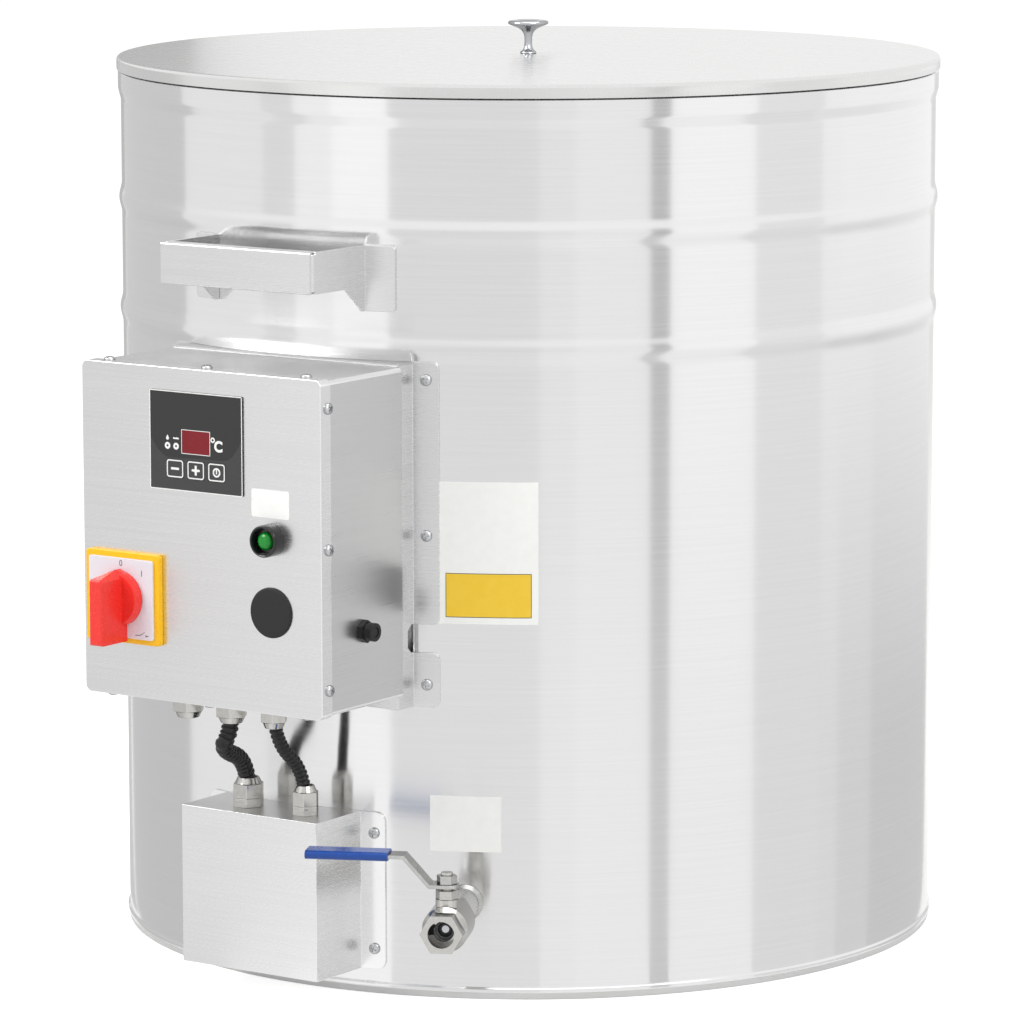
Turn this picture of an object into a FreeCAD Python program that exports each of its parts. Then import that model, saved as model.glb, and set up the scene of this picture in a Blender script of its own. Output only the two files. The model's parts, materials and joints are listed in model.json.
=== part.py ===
"""Candle wax melter: a round double-walled steel tank with a control box, a heater box and a drain valve.

The frame stands on the floor with its origin on the tank's axis. +Z is up and the control box faces -Y.
All sizes are in millimetres and live in the spreadsheet named Sizes.
"""
import FreeCAD, Part
import math
import os
import Sketcher

doc = FreeCAD.newDocument("WaxMelter")

DRIVING_SIZES = [
    # Tank
    ("shell_radius", 300.0, "outside of the plain shell"),
    ("shell_sheet", 1.2, "sheet of the shell"),
    ("pan_height", 5.0, "height of the base pan's rim"),
    ("pan_sheet", 1.5, "sheet of the base pan"),
    ("pan_out", 0.5, "base pan rim past the shell"),
    ("hem_height", 3.5, "rolled hem at the foot of the shell"),
    ("hem_out", 1.5, "how far the hem stands out"),
    ("bead_out", 2.0, "how far a stiffening bead stands out"),
    ("bead_half", 8.0, "half height of a bead"),
    ("bead_flat", 3.5, "half height of a bead's crest"),
    ("bead_spacing", 81.0, "lower bead to upper bead"),
    ("collar_out", 2.0, "how far the collar stands out"),
    ("collar_taper", 4.5, "height of the collar's taper"),
    ("collar_height", 12.5, "height of the collar above its taper"),
    ("collar_top_z", 632.0, "step at the top of the collar"),
    ("neck_inset", 0.5, "neck inside the plain shell"),
    ("rim_height", 9.0, "neck above the collar"),
    ("neck_lip", 4.0, "width of that lip"),
    ("deck_sheet", 1.5, "plate between vessel and shell"),
    ("jacket_width", 50.0, "shell to the inside of the wax vessel"),
    ("vessel_sheet", 1.2, "sheet of the wax vessel"),
    ("vessel_floor_z", 112.0, "floor of the wax vessel"),
    ("vessel_corner", 22.0, "sloping corner at the vessel's floor"),
    ("vessel_flange", 15.0, "flange that hangs the vessel on the deck"),
    ("filler_in", 19.0, "filler plug's axis inside the shell"),
    ("filler_thread", 10.5, "thread radius of the filler plug"),
    ("filler_hex", 22.0, "across flats of the filler plug"),
    ("filler_head", 6.0, "height of the filler plug's head"),
    ("seat_gap", 0.05, "gap between a curved flange and the shell"),
    ("fit_gap", 0.1, "radial clearance of a fixed piece in its hole"),
    ("running_gap", 0.06, "radial clearance of a turning or sliding pin"),
    # Lid
    ("lid_out", 3.0, "lid past the shell"),
    ("lid_sheet", 1.0, "sheet of the lid"),
    ("lid_skirt", 9.3, "depth of the lid's skirt"),
    ("lid_edge", 0.8, "bevel at the lid's edge"),
    ("knob_head", 15.0, "head radius of the lid's knob"),
    ("knob_foot", 6.0, "foot radius of the lid's knob"),
    ("knob_waist", 2.9, "waist radius of the lid's knob"),
    ("knob_height", 25.0, "height of the lid's knob"),
    ("knob_foot_height", 1.5, "height of the knob's foot"),
    ("knob_waist_z", 5.5, "lower end of the knob's waist"),
    ("knob_flare_z", 12.5, "upper end of the knob's waist"),
    ("knob_brim", 3.5, "thickness of the knob's brim"),
    ("knob_edge", 1.0, "bevel at the knob's brim"),
    ("knob_screw_length", 10.0, "screw inside the lid's knob"),
    ("knob_screw_head", 4.6, "head radius of the knob's screw"),
    ("knob_screw_head_height", 3.0, "head height of the knob's screw"),
    ("knob_screw", 2.4, "screw radius of the lid's knob"),
    # Handles
    ("handle_width", 130.0, "across the handle's arms"),
    ("handle_out", 58.5, "front face of the grip from the shell"),
    ("handle_below_bead", 9.0, "grip's upper edge below the upper bead"),
    ("grip_height", 29.0, "height of the grip"),
    ("foot_drop", 17.0, "foot of the strap below the grip"),
    ("flare_out", 18.0, "where the arm starts to widen, from the shell"),
    ("handle_sheet", 2.0, "sheet of the strap"),
    ("handle_foot", 21.0, "width of a foot"),
    ("grip_sheet", 1.5, "sheet of the grip"),
    ("grip_lip", 11.0, "depth of the grip's lips"),
    # Control box
    ("box_width", 206.0, "width of the control box"),
    ("box_height", 234.0, "height of the control box"),
    ("box_depth", 96.0, "depth of the control box"),
    ("box_low_z", 215.5, "lower edge of the control box"),
    ("box_standoff", 3.0, "back of the box from the shell"),
    ("box_sheet", 1.2, "sheet of the box and its cover"),
    ("box_corner", 5.0, "corner radius of the cover"),
    ("cover_lip", 12.0, "depth of the cover's lip"),
    ("cover_screw_in", 8.5, "cover screws behind the front"),
    ("cover_screw_rise", 97.0, "side screws above and below the middle"),
    ("cover_screw_run", 85.0, "top and bottom screws beside the middle"),
    ("bracket_width", 196.0, "width of the hat bracket"),
    ("bracket_flange", 17.0, "width of a bracket flange"),
    ("bracket_sheet", 1.5, "sheet of the bracket"),
    ("bracket_below", 8.0, "bracket below the box"),
    ("bracket_above", 0.4, "bracket above the box"),
    ("notch_z", 256.0, "middle of the cable notch"),
    ("notch_height", 20.0, "height of the cable notch"),
    ("notch_depth", 8.0, "depth of the notch in the bracket's leg"),
    ("notch_slope", 4.0, "sloped corners of the cable notch"),
    ("screw_head", 4.0, "head radius of a pan screw"),
    ("screw_head_height", 2.4, "head height of a pan screw"),
    # Controller
    ("foil_x", -2.7, "middle of the controller"),
    ("foil_z", 399.0, "middle of the controller"),
    ("foil_width", 80.0, "width of the front foil"),
    ("foil_height", 69.0, "height of the front foil"),
    ("foil_thick", 1.2, "thickness of the front foil"),
    ("case_width", 72.0, "width of the controller's case"),
    ("case_height", 62.0, "height of the controller's case"),
    ("case_depth", 34.0, "depth of the controller's case"),
    ("display_width", 24.0, "width of the display"),
    ("display_height", 16.0, "height of the display"),
    ("key_width", 14.4, "width of a key"),
    ("key_height", 12.4, "height of a key"),
    ("key_pitch", 18.0, "from one key to the next"),
    ("key_drop", 19.3, "keys below the controller's middle"),
    ("key_travel", 0.5, "how far a key goes in"),
    ("key_proud", 0.3, "how far a key stands out of the foil"),
    ("key_gap", 0.2, "gap round a key"),
    ("key_corner", 1.2, "corner radius of a key"),
    ("foil_corner", 1.5, "corner radius of the front foil"),
    ("case_gap", 0.5, "cut-out round the controller's case"),
    # Lamp, plug and reset
    ("side_x", 60.5, "lamp and plug from the box's middle"),
    ("lamp_z", 337.0, "height of the lamp"),
    ("lamp_radius", 11.2, "radius of the lamp's bezel"),
    ("lamp_reach", 10.5, "how far the bezel stands out"),
    ("lamp_recess", 6.0, "depth of the bezel's cup"),
    ("lamp_lens", 6.2, "radius of the lens"),
    ("lamp_wall", 2.2, "wall of the bezel's cup"),
    ("lamp_edge", 1.0, "bevel at the bezel's front"),
    ("lamp_thread", 8.0, "thread radius of the lamp"),
    ("lamp_length", 24.0, "lamp behind the cover"),
    ("plug_z", 286.6, "height of the blanking plug"),
    ("plug_radius", 17.5, "radius of the blanking plug"),
    ("plug_hole", 15.0, "radius of the hole that it closes"),
    ("plug_thick", 2.0, "thickness of the blanking plug's plate"),
    ("plug_depth", 8.0, "blanking plug behind the cover"),
    ("reset_out", 50.0, "reset button in front of the shell"),
    ("reset_z", 271.0, "height of the reset button"),
    ("reset_hex", 14.0, "across flats of the reset nut"),
    ("reset_nut", 4.5, "thickness of the reset nut"),
    ("reset_radius", 6.4, "radius of the guard ring"),
    ("reset_reach", 11.0, "how far the guard ring stands out"),
    ("reset_button", 3.5, "radius of the reset button"),
    ("reset_travel", 1.5, "how far the reset button goes in"),
    ("reset_thread", 5.0, "thread radius of the reset bushing"),
    ("thermostat_radius", 11.0, "radius of the limit thermostat"),
    ("thermostat_length", 26.0, "length of the limit thermostat"),
    # Main switch
    ("switch_x", -65.5, "middle of the switch"),
    ("switch_z", 286.0, "middle of the switch"),
    ("switch_square", 64.0, "side of the yellow plate"),
    ("switch_plate", 5.0, "thickness of the yellow plate"),
    ("switch_face", 56.0, "side of the white face"),
    ("switch_face_thick", 2.0, "thickness of the white face"),
    ("dial_radius", 19.3, "radius of the knob's dial"),
    ("dial_thick", 6.0, "thickness of the knob's dial"),
    ("dial_bevel", 2.0, "bevel round the dial"),
    ("bar_width", 11.5, "width of the knob's bar"),
    ("bar_up", 20.5, "bar above the knob's axis"),
    ("bar_down", 30.0, "bar below the knob's axis"),
    ("bar_reach", 28.0, "front of the bar from the knob's back"),
    ("bar_lean", 4.5, "how far the bar's top slopes back"),
    ("bar_bevel", 1.2, "bevel at the bar's front"),
    ("knob_float", 0.3, "gap behind the knob"),
    ("shaft_radius", 4.0, "radius of the switch's shaft"),
    ("switch_depth", 45.0, "switch behind the cover"),
    # Glands and hoses
    ("gland_out", 54.0, "upper glands in front of the shell"),
    ("inlet_x", -47.3, "mains inlet gland"),
    ("heater_gland_x", -9.3, "upper gland of the heater hose"),
    ("probe_gland_x", 27.7, "upper gland of the probe hose"),
    ("heater_low_x", -17.5, "lower gland of the heater hose"),
    ("heater_low_out", 24.5, "that gland in front of the shell"),
    ("probe_low_x", 33.6, "lower gland of the probe hose"),
    ("probe_low_out", 26.0, "that gland in front of the shell"),
    ("big_gland_hex", 20.0, "across flats of an M16 gland"),
    ("small_gland_hex", 17.0, "across flats of an M12 gland"),
    ("big_gland_thread", 8.0, "thread radius of an M16 gland"),
    ("small_gland_thread", 6.0, "thread radius of an M12 gland"),
    ("gland_hex_height", 6.5, "hexagon of a gland body"),
    ("gland_cap_height", 14.5, "height of a gland's cap"),
    ("gland_cap_skirt", 10.0, "hexagon of a gland's cap"),
    ("gland_lip", 1.2, "wall at the mouth of a gland's cap"),
    ("gland_thread_length", 8.0, "thread of a gland"),
    ("gland_wall", 1.6, "wall of a gland's thread"),
    ("locknut_thick", 3.5, "thickness of a locknut"),
    ("heater_hose_radius", 6.2, "crest radius of the heater hose"),
    ("probe_hose_radius", 4.9, "crest radius of the probe hose"),
    ("heater_rib_pitch", 4.6, "rib to rib on the heater hose"),
    ("probe_rib_pitch", 4.2, "rib to rib on the probe hose"),
    ("rib_depth", 0.7, "depth of the grooves between ribs"),
    ("hose_wall", 0.9, "wall under the grooves"),
    # Heater box and heater
    ("heater_box_width", 118.0, "width of the heater box"),
    ("heater_box_height", 113.0, "height of the heater box"),
    ("heater_box_low_z", 17.5, "lower edge of the heater box"),
    ("heater_box_out", 48.0, "front of the heater box from the shell"),
    ("heater_box_sheet", 1.5, "sheet of the heater box"),
    ("heater_flange", 18.0, "width of the heater box's flanges"),
    ("heater_flange_corner", 7.0, "corner radius of those flanges"),
    ("heater_screw_in", 15.0, "flange screws from the box's ends"),
    ("heater_z", 66.0, "height of the immersion heater"),
    ("heater_thread", 21.0, "thread radius of the heater plug"),
    ("heater_hex", 50.0, "across flats of the heater plug"),
    ("heater_hex_height", 11.0, "height of the heater plug's hexagon"),
    ("heater_thread_length", 16.0, "thread of the heater plug"),
    ("boss_wall", 3.2, "wall of the heater's boss"),
    ("boss_out", 12.0, "boss in front of the shell"),
    ("boss_in", 6.0, "boss behind the shell's face"),
    ("element_spacing", 18.0, "between the two legs of the heating element"),
    ("element_radius", 3.5, "radius of a heating element"),
    ("element_reach", 330.0, "length of a heating element"),
    ("probe_x", 40.0, "probe pocket beside the heater"),
    ("probe_z", 106.0, "height of the probe pocket"),
    ("probe_radius", 4.0, "radius of the probe pocket"),
    ("probe_depth", 90.0, "length of the probe pocket"),
    ("probe_head", 7.0, "height of the probe pocket's head"),
    # Drain valve
    ("valve_angle", 25.8, "valve from the control box, degrees"),
    ("valve_z", 69.0, "height of the valve"),
    ("pipe_radius", 10.65, "outside of the half-inch pipe"),
    ("bore_radius", 7.2, "bore of the pipe and the ball"),
    ("stem_out", 76.0, "valve stem from the shell"),
    ("outlet_length", 26.0, "stem to the valve's outlet"),
    ("inlet_length", 33.0, "stem to the valve's inlet"),
    ("end_cap_hex", 10.0, "length of the inlet's hexagon"),
    ("pipe_grip", 9.0, "pipe inside the valve"),
    ("outlet_thread", 9.3, "thread radius of the outlet"),
    ("outlet_depth", 12.0, "length of the outlet's thread"),
    ("valve_hex", 26.0, "across flats of the valve's ends"),
    ("valve_belly", 16.0, "radius round the ball"),
    ("ball_radius", 11.5, "radius of the ball"),
    ("ball_room", 0.6, "chamber round the ball"),
    ("slot_width", 3.0, "slot on top of the ball"),
    ("slot_depth", 2.5, "depth of that slot"),
    ("seat_width", 6.5, "length of a ball seat"),
    ("neck_radius", 8.0, "radius of the stem's neck"),
    ("neck_height", 20.0, "top of the neck above the valve's axis"),
    ("stem_radius", 4.0, "radius of the stem"),
    ("stem_height", 38.5, "top of the stem above the valve's axis"),
    ("packing_hex", 14.0, "across flats of the packing nut"),
    ("packing_height", 6.2, "height of the packing nut"),
    ("lever_nut_hex", 12.5, "across flats of the lever's nut"),
    ("lever_nut_height", 6.0, "height of the lever's nut"),
    ("lever_rise", 28.0, "lever plate above the valve's axis"),
    ("lever_length", 95.0, "stem to the lever's end"),
    ("lever_width", 16.0, "width of the lever"),
    ("lever_sheet", 2.5, "sheet of the lever"),
    ("lever_step", 20.0, "height of the lever's bend"),
    ("lever_bend_in", 12.0, "where the lever starts to rise"),
    ("lever_bend_out", 30.0, "where the lever is level again"),
    ("sleeve_start", 40.0, "start of the plastic sleeve"),
    ("sleeve_wall", 1.8, "wall of the plastic sleeve"),
    # Inside the control box
    ("relay_width", 45.0, "width of the relay"),
    ("relay_height", 62.0, "height of the relay"),
    ("relay_depth", 48.0, "depth of the relay"),
    ("relay_x", 42.0, "middle of the relay"),
    ("relay_z", 380.0, "middle of the relay"),
    ("relay_recess", 8.0, "depth of the relay's terminal recesses"),
    ("terminal_pitch", 10.0, "from one terminal to the next"),
    ("terminal_ways", 7.0, "count of terminals"),
    ("terminal_height", 20.0, "height of the terminal block"),
    ("terminal_depth", 22.0, "depth of the terminal block"),
    ("terminal_x", -40.0, "middle of the terminal block"),
    ("terminal_z", 345.0, "middle of the terminal block"),
]


class Size:
    """A number that also knows the spreadsheet formula it comes from."""

    def __init__(self, value, formula):
        self.value = float(value)
        self.formula = formula

    def _with(self, sign, other, value):
        return Size(value, "(%s %s %s)" % (self.formula, sign, other.formula))

    def __add__(self, other):
        other = as_size(other)
        return self._with("+", other, self.value + other.value)

    def __sub__(self, other):
        other = as_size(other)
        return self._with("-", other, self.value - other.value)

    def __mul__(self, other):
        other = as_size(other)
        return self._with("*", other, self.value * other.value)

    def __truediv__(self, other):
        other = as_size(other)
        return self._with("/", other, self.value / other.value)

    def __radd__(self, other):
        return as_size(other) + self

    def __rsub__(self, other):
        return as_size(other) - self

    def __rmul__(self, other):
        return as_size(other) * self

    def __neg__(self):
        return Size(-self.value, "(0 - %s)" % self.formula)


def as_size(number):
    if isinstance(number, Size):
        return number
    return Size(number, "(%r)" % float(number))


def root(size):
    return Size(math.sqrt(size.value), "sqrt(%s)" % size.formula)


def sine(angle):
    angle = as_size(angle)
    return Size(math.sin(math.radians(angle.value)), "sin(%s * 1 deg)" % angle.formula)


def cosine(angle):
    angle = as_size(angle)
    return Size(math.cos(math.radians(angle.value)), "cos(%s * 1 deg)" % angle.formula)


def angle_of(half_chord, radius):
    """Angle in degrees whose sine is half_chord over radius."""
    ratio = as_size(half_chord) / radius
    return Size(math.degrees(math.asin(ratio.value)), "(asin(%s) / 1 deg)" % ratio.formula)


class Sheet:
    """The spreadsheet, with each driving size as an attribute."""

    def __init__(self):
        self.cells = doc.addObject("Spreadsheet::Sheet", "Sizes")
        for row, (alias, number, note) in enumerate(DRIVING_SIZES, start=1):
            self.cells.set("A%d" % row, alias)
            self.cells.set("B%d" % row, str(number))
            self.cells.set("C%d" % row, note)
            self.cells.setAlias("B%d" % row, alias)
            setattr(self, alias, Size(number, "Sizes.%s" % alias))
        doc.recompute()


S = Sheet()
NODES = []


def bind(thing, prop, number):
    number = as_size(number)
    if "Sizes." in number.formula:
        thing.setExpression(prop, number.formula)
    else:
        setattr(thing, prop, number.value)


def bind_constraint(sketch, constraint):
    """Add one dimension given as its arguments, the last of them a Size."""
    size = constraint[-1]
    index = sketch.addConstraint(Sketcher.Constraint(*constraint[:-1], size.value))
    if "Sizes." in size.formula:
        sketch.setExpression("Constraints[%d]" % index, size.formula)


def put_point(sketch, geometry, position, point):
    bind_constraint(sketch, ("DistanceX", -1, 1, geometry, position, as_size(point[0])))
    bind_constraint(sketch, ("DistanceY", -1, 1, geometry, position, as_size(point[1])))


def draw_circle(sketch, x, y, radius):
    x, y, radius = as_size(x), as_size(y), as_size(radius)
    centre = FreeCAD.Vector(x.value, y.value, 0)
    circle = sketch.addGeometry(Part.Circle(centre, FreeCAD.Vector(0, 0, 1), radius.value))
    put_point(sketch, circle, 3, (x, y))
    bind_constraint(sketch, ("Radius", circle, radius))


def arc_centre(start, end, radius):
    """Centre to the left of the travel for a positive radius, to the right for a negative one."""
    middle = (start + end) * 0.5
    chord = end - start
    rise = math.sqrt(max(radius * radius - chord.Length ** 2 / 4, 0))
    left = FreeCAD.Vector(-chord.y, chord.x, 0).normalize()
    return middle + left * math.copysign(rise, radius)


def draw_outline(sketch, points):
    """A closed outline: (x, y) is reached by a line, (x, y, radius) by an arc of under a half circle."""
    spots = [FreeCAD.Vector(as_size(point[0]).value, as_size(point[1]).value, 0) for point in points]
    ends = []
    for index, point in enumerate(points):
        start, end = spots[index - 1], spots[index]
        if len(point) == 2:
            line = sketch.addGeometry(Part.LineSegment(start, end))
            ends.append((line, 1, 2))
            continue
        radius = as_size(point[2]).value
        centre = arc_centre(start, end, radius)
        turns_left = radius > 0
        first, last = (start, end) if turns_left else (end, start)
        begin = math.atan2(first.y - centre.y, first.x - centre.x)
        finish = math.atan2(last.y - centre.y, last.x - centre.x)
        if finish < begin:
            finish += 2 * math.pi
        circle = Part.Circle(centre, FreeCAD.Vector(0, 0, 1), abs(radius))
        arc = sketch.addGeometry(Part.ArcOfCircle(circle, begin, finish))
        ends.append((arc, 1, 2) if turns_left else (arc, 2, 1))
    for index, (geometry, begin, finish) in enumerate(ends):
        following, its_begin, its_finish = ends[(index + 1) % len(ends)]
        sketch.addConstraint(Sketcher.Constraint("Coincident", geometry, finish, following, its_begin))
        put_point(sketch, geometry, finish, points[index])
        if len(points[index]) == 3:
            size = as_size(points[index][2])
            size = size if size.value > 0 else -size
            bind_constraint(sketch, ("Radius", geometry, size))


def rectangle(x, y, width, height, corner=None):
    """Outline of a rectangle about its middle, with round corners when a radius is given."""
    left, right = x - width / 2, x + width / 2
    low, high = y - height / 2, y + height / 2
    if corner is None:
        return [(left, low), (right, low), (right, high), (left, high)]
    return [
        (left, low + corner),
        (left + corner, low, corner),
        (right - corner, low),
        (right, low + corner, corner),
        (right, high - corner),
        (right - corner, high, corner),
        (left + corner, high),
        (left, high - corner, corner),
    ]


def hexagon(x, y, across):
    """Hexagon with two flats square to the sketch's vertical axis."""
    half = across / 2
    point = across / math.sqrt(3)
    return [
        (x + point, y),
        (x + point / 2, y + half),
        (x - point / 2, y + half),
        (x - point, y),
        (x - point / 2, y - half),
        (x + point / 2, y - half),
    ]


def circle(x, y, radius):
    return ("circle", x, y, radius)


class Piece:
    """One named sub-part, built as a PartDesign body from sketched features.

    Features on the plane XY grow along +Z, on XZ along -Y and on YZ along +X, from the offset
    called start. A turn angle swings the XZ plane about the Z axis, from -Y towards +X.
    """

    def __init__(self, label, exported=True):
        self.body = doc.addObject("PartDesign::Body", label)
        self.body.Label = label
        self.label = label
        self.features = 0
        if exported:
            NODES.append(self.body)

    def sketch(self, plane, start, loops, turn=0):
        self.features += 1
        name = "%s_sketch_%d" % (self.label, self.features)
        sketch = self.body.newObject("Sketcher::SketchObject", name)
        support = [item for item in self.body.Origin.OriginFeatures if item.Role == plane + "_Plane"][0]
        sketch.AttachmentSupport = [(support, "")]
        sketch.MapMode = "FlatFace"
        turn, start = as_size(turn), as_size(start)
        swing = FreeCAD.Rotation(FreeCAD.Vector(0, 1, 0), turn.value)
        base = swing.multVec(FreeCAD.Vector(0, 0, start.value))
        sketch.AttachmentOffset = FreeCAD.Placement(base, swing)
        if turn.value == 0 and "Sizes." in start.formula:
            sketch.setExpression("AttachmentOffset.Base.z", start.formula)
        for loop in loops:
            if loop[0] == "circle":
                draw_circle(sketch, *loop[1:])
            else:
                draw_outline(sketch, loop)
        return sketch

    def feature(self, kind, profile):
        feature = self.body.newObject("PartDesign::" + kind, "%s_%s_%d" % (self.label, kind, self.features))
        feature.Profile = profile
        return feature

    def pad(self, plane, start, depth, loops, turn=0):
        pad = self.feature("Pad", self.sketch(plane, start, loops, turn))
        bind(pad, "Length", depth)
        return self.settle(pad)

    def cut(self, plane, start, depth, loops, turn=0):
        pocket = self.feature("Pocket", self.sketch(plane, start, loops, turn))
        pocket.Reversed = True
        bind(pocket, "Length", depth)
        return self.settle(pocket)

    def spin(self, loops):
        """Turn outlines given as radius and height about the Z axis."""
        profile = self.sketch("XZ", 0, loops)
        turned = self.feature("Revolution", profile)
        turned.ReferenceAxis = (profile, ["V_Axis"])
        turned.Angle = 360
        return self.settle(turned)

    def groove(self, loops):
        profile = self.sketch("XZ", 0, loops)
        groove = self.feature("Groove", profile)
        groove.ReferenceAxis = (profile, ["V_Axis"])
        groove.Angle = 360
        return self.settle(groove)

    def soften(self, kind, size, wanted):
        """Fillet or chamfer every edge that the test called wanted picks out."""
        base = self.body.Tip
        edges = ["Edge%d" % (index + 1) for index, edge in enumerate(base.Shape.Edges) if wanted(edge)]
        if not edges:
            raise RuntimeError("%s: no edge to soften" % self.label)
        self.features += 1
        dress = self.body.newObject("PartDesign::" + kind, "%s_%s_%d" % (self.label, kind, self.features))
        dress.Base = (base, edges)
        bind(dress, "Radius" if kind == "Fillet" else "Size", size)
        return self.settle(dress)

    def settle(self, feature):
        before = self.body.Shape.Volume if self.body.Shape.Solids else 0
        self.body.Tip = feature
        doc.recompute()
        removes = feature.TypeId.split("::")[1] in ("Pocket", "Groove")
        if removes and not feature.Shape.Volume < before - 1e-6:
            raise RuntimeError("%s cuts nothing" % feature.Name)
        return feature

    def place(self, x=0, y=0, z=0, rotation=None):
        put(self.body, x, y, z, rotation)


def put(thing, x, y, z, rotation=None):
    """Place an object and tie its position to the sizes it comes from."""
    spot = [as_size(number) for number in (x, y, z)]
    base = FreeCAD.Vector(*[number.value for number in spot])
    thing.Placement = FreeCAD.Placement(base, rotation or FreeCAD.Rotation())
    for axis, number in zip("xyz", spot):
        if "Sizes." in number.formula:
            thing.setExpression("Placement.Base.%s" % axis, number.formula)
    doc.recompute()


def turned_by(angle):
    return FreeCAD.Rotation(FreeCAD.Vector(0, 0, 1), angle)


FACING_FRONT = FreeCAD.Rotation(FreeCAD.Vector(1, 0, 0), 90)
FACING_RIGHT = FreeCAD.Rotation(FreeCAD.Vector(0, 1, 0), 90)
FACING_DOWN = FreeCAD.Rotation(FreeCAD.Vector(1, 0, 0), 180)


def copies(label, templates_and_places):
    """One node that holds a template's solid at each of several places."""
    feature = doc.addObject("Part::Feature", label)
    feature.Label = label
    solids = []
    for template, place in templates_and_places:
        solid = template.body.Shape.copy()
        solid.Placement = place
        solids.append(solid)
    feature.Shape = Part.makeCompound(solids)
    NODES.append(feature)
    return feature


def drop(radius, half_chord):
    """How far in front of the tank's axis a circle lies at a given distance beside it."""
    return root(as_size(radius) * radius - as_size(half_chord) * half_chord)


# Tank

wall_inside = S.shell_radius - S.shell_sheet
hem_top = S.pan_height + S.hem_height
vessel_radius = S.shell_radius - S.jacket_width
low_bead_z = S.box_low_z + S.box_height + S.bracket_above + S.fit_gap + S.bead_half
high_bead_z = low_bead_z + S.bead_spacing
neck_top_z = S.collar_top_z + S.rim_height
lid_radius = S.shell_radius + S.lid_out
handle_front = S.shell_radius + S.handle_out
grip_top = high_bead_z - S.handle_below_bead
grip_low = grip_top - S.grip_height
gland_line = S.shell_radius + S.gland_out
heater_low_line = S.shell_radius + S.heater_low_out
probe_low_line = S.shell_radius + S.probe_low_out
reset_line = S.shell_radius + S.reset_out
heater_box_front = S.shell_radius + S.heater_box_out
stem_reach = S.shell_radius + S.stem_out
inlet_reach = stem_reach - S.inlet_length
outlet_reach = stem_reach + S.outlet_length
collar_radius = S.shell_radius + S.collar_out
neck_radius = S.shell_radius - S.neck_inset
deck_top = S.collar_top_z - S.shell_sheet
box_back = S.shell_radius + S.box_standoff
box_front = box_back + S.box_depth
box_middle_z = S.box_low_z + S.box_height / 2
flange_foot = S.shell_radius + S.seat_gap
heater_box_top = S.heater_box_low_z + S.heater_box_height


def bead(height):
    """Outline points of one stiffening bead, from its foot up."""
    crest = S.shell_radius + S.bead_out
    return [
        (S.shell_radius, height - S.bead_half),
        (crest, height - S.bead_flat),
        (crest, height + S.bead_flat),
        (S.shell_radius, height + S.bead_half),
    ]


def outer_shell():
    shell = Piece("outer_shell")
    outline = [
        (wall_inside, S.pan_height),
        (S.shell_radius + S.hem_out, S.pan_height),
        (S.shell_radius + S.hem_out, hem_top - S.hem_out),
        (S.shell_radius, hem_top),
    ]
    collar_z = S.collar_top_z - S.collar_height
    taper_z = collar_z - S.collar_taper
    outline += bead(low_bead_z) + bead(high_bead_z)
    outline += [
        (S.shell_radius, taper_z),
        (collar_radius, collar_z),
        (collar_radius, S.collar_top_z),
        (neck_radius, S.collar_top_z),
        (neck_radius, neck_top_z),
        (neck_radius - S.neck_lip, neck_top_z),
        (neck_radius - S.neck_lip, neck_top_z - S.shell_sheet),
        (neck_radius - S.shell_sheet, neck_top_z - S.shell_sheet),
        (neck_radius - S.shell_sheet, deck_top),
        (collar_radius - S.shell_sheet, deck_top),
        (collar_radius - S.shell_sheet, collar_z),
        (wall_inside, taper_z),
    ]
    shell.spin([outline])
    reach = S.shell_radius + S.hem_out
    shell.cut("XZ", 0, reach, [
        circle(0, S.heater_z, S.heater_thread + S.boss_wall + S.fit_gap),
        circle(S.probe_x, S.probe_z, S.probe_radius + S.fit_gap),
    ])
    shell.cut("XZ", 0, reach, [circle(0, S.valve_z, S.pipe_radius + S.fit_gap)], S.valve_angle)


def bracket_screw_angle():
    return angle_of(S.bracket_width / 2 + S.bracket_flange / 2, S.shell_radius)


def bracket_screw_heights():
    spread = S.box_height / 2 - S.screw_head * 3
    return [box_middle_z - spread - S.screw_head, box_middle_z - S.screw_head, box_middle_z + spread]


def heater_screw_angle():
    return angle_of(S.heater_box_width / 2 + S.heater_flange * 0.55, S.shell_radius)


def heater_screw_heights():
    return [S.heater_box_low_z + S.heater_screw_in, heater_box_top - S.heater_screw_in]


def base_pan():
    pan = Piece("base_pan")
    rim = S.shell_radius + S.pan_out
    pan.spin([[
        (0, 0),
        (rim - S.pan_sheet, 0),
        (rim, S.pan_sheet),
        (rim, S.pan_height),
        (rim - S.pan_sheet * 2, S.pan_height),
        (rim - S.pan_sheet * 2, S.pan_sheet),
        (0, S.pan_sheet),
    ]])


def inner_vessel():
    vessel = Piece("inner_vessel")
    outside = vessel_radius + S.vessel_sheet
    corner_z = S.vessel_floor_z + S.vessel_corner
    corner_r = vessel_radius - S.vessel_corner
    below = S.vessel_sheet * math.tan(math.radians(22.5))
    vessel.spin([[
        (0, S.vessel_floor_z - S.vessel_sheet),
        (corner_r + below, S.vessel_floor_z - S.vessel_sheet),
        (outside, corner_z - below),
        (outside, deck_top),
        (outside + S.vessel_flange, deck_top),
        (outside + S.vessel_flange, deck_top + S.vessel_sheet),
        (vessel_radius, deck_top + S.vessel_sheet),
        (vessel_radius, corner_z),
        (corner_r, S.vessel_floor_z),
        (0, S.vessel_floor_z),
    ]])


def top_deck():
    deck = Piece("top_deck")
    inside = vessel_radius + S.vessel_sheet + S.fit_gap
    outside = collar_radius - S.shell_sheet - S.fit_gap
    deck.pad("XY", deck_top - S.deck_sheet, S.deck_sheet, [circle(0, 0, outside), circle(0, 0, inside)])
    deck.cut("XY", deck_top - S.deck_sheet, S.deck_sheet, [
        circle(0, (S.shell_radius - S.filler_in), S.filler_thread + S.fit_gap),
    ])


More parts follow.
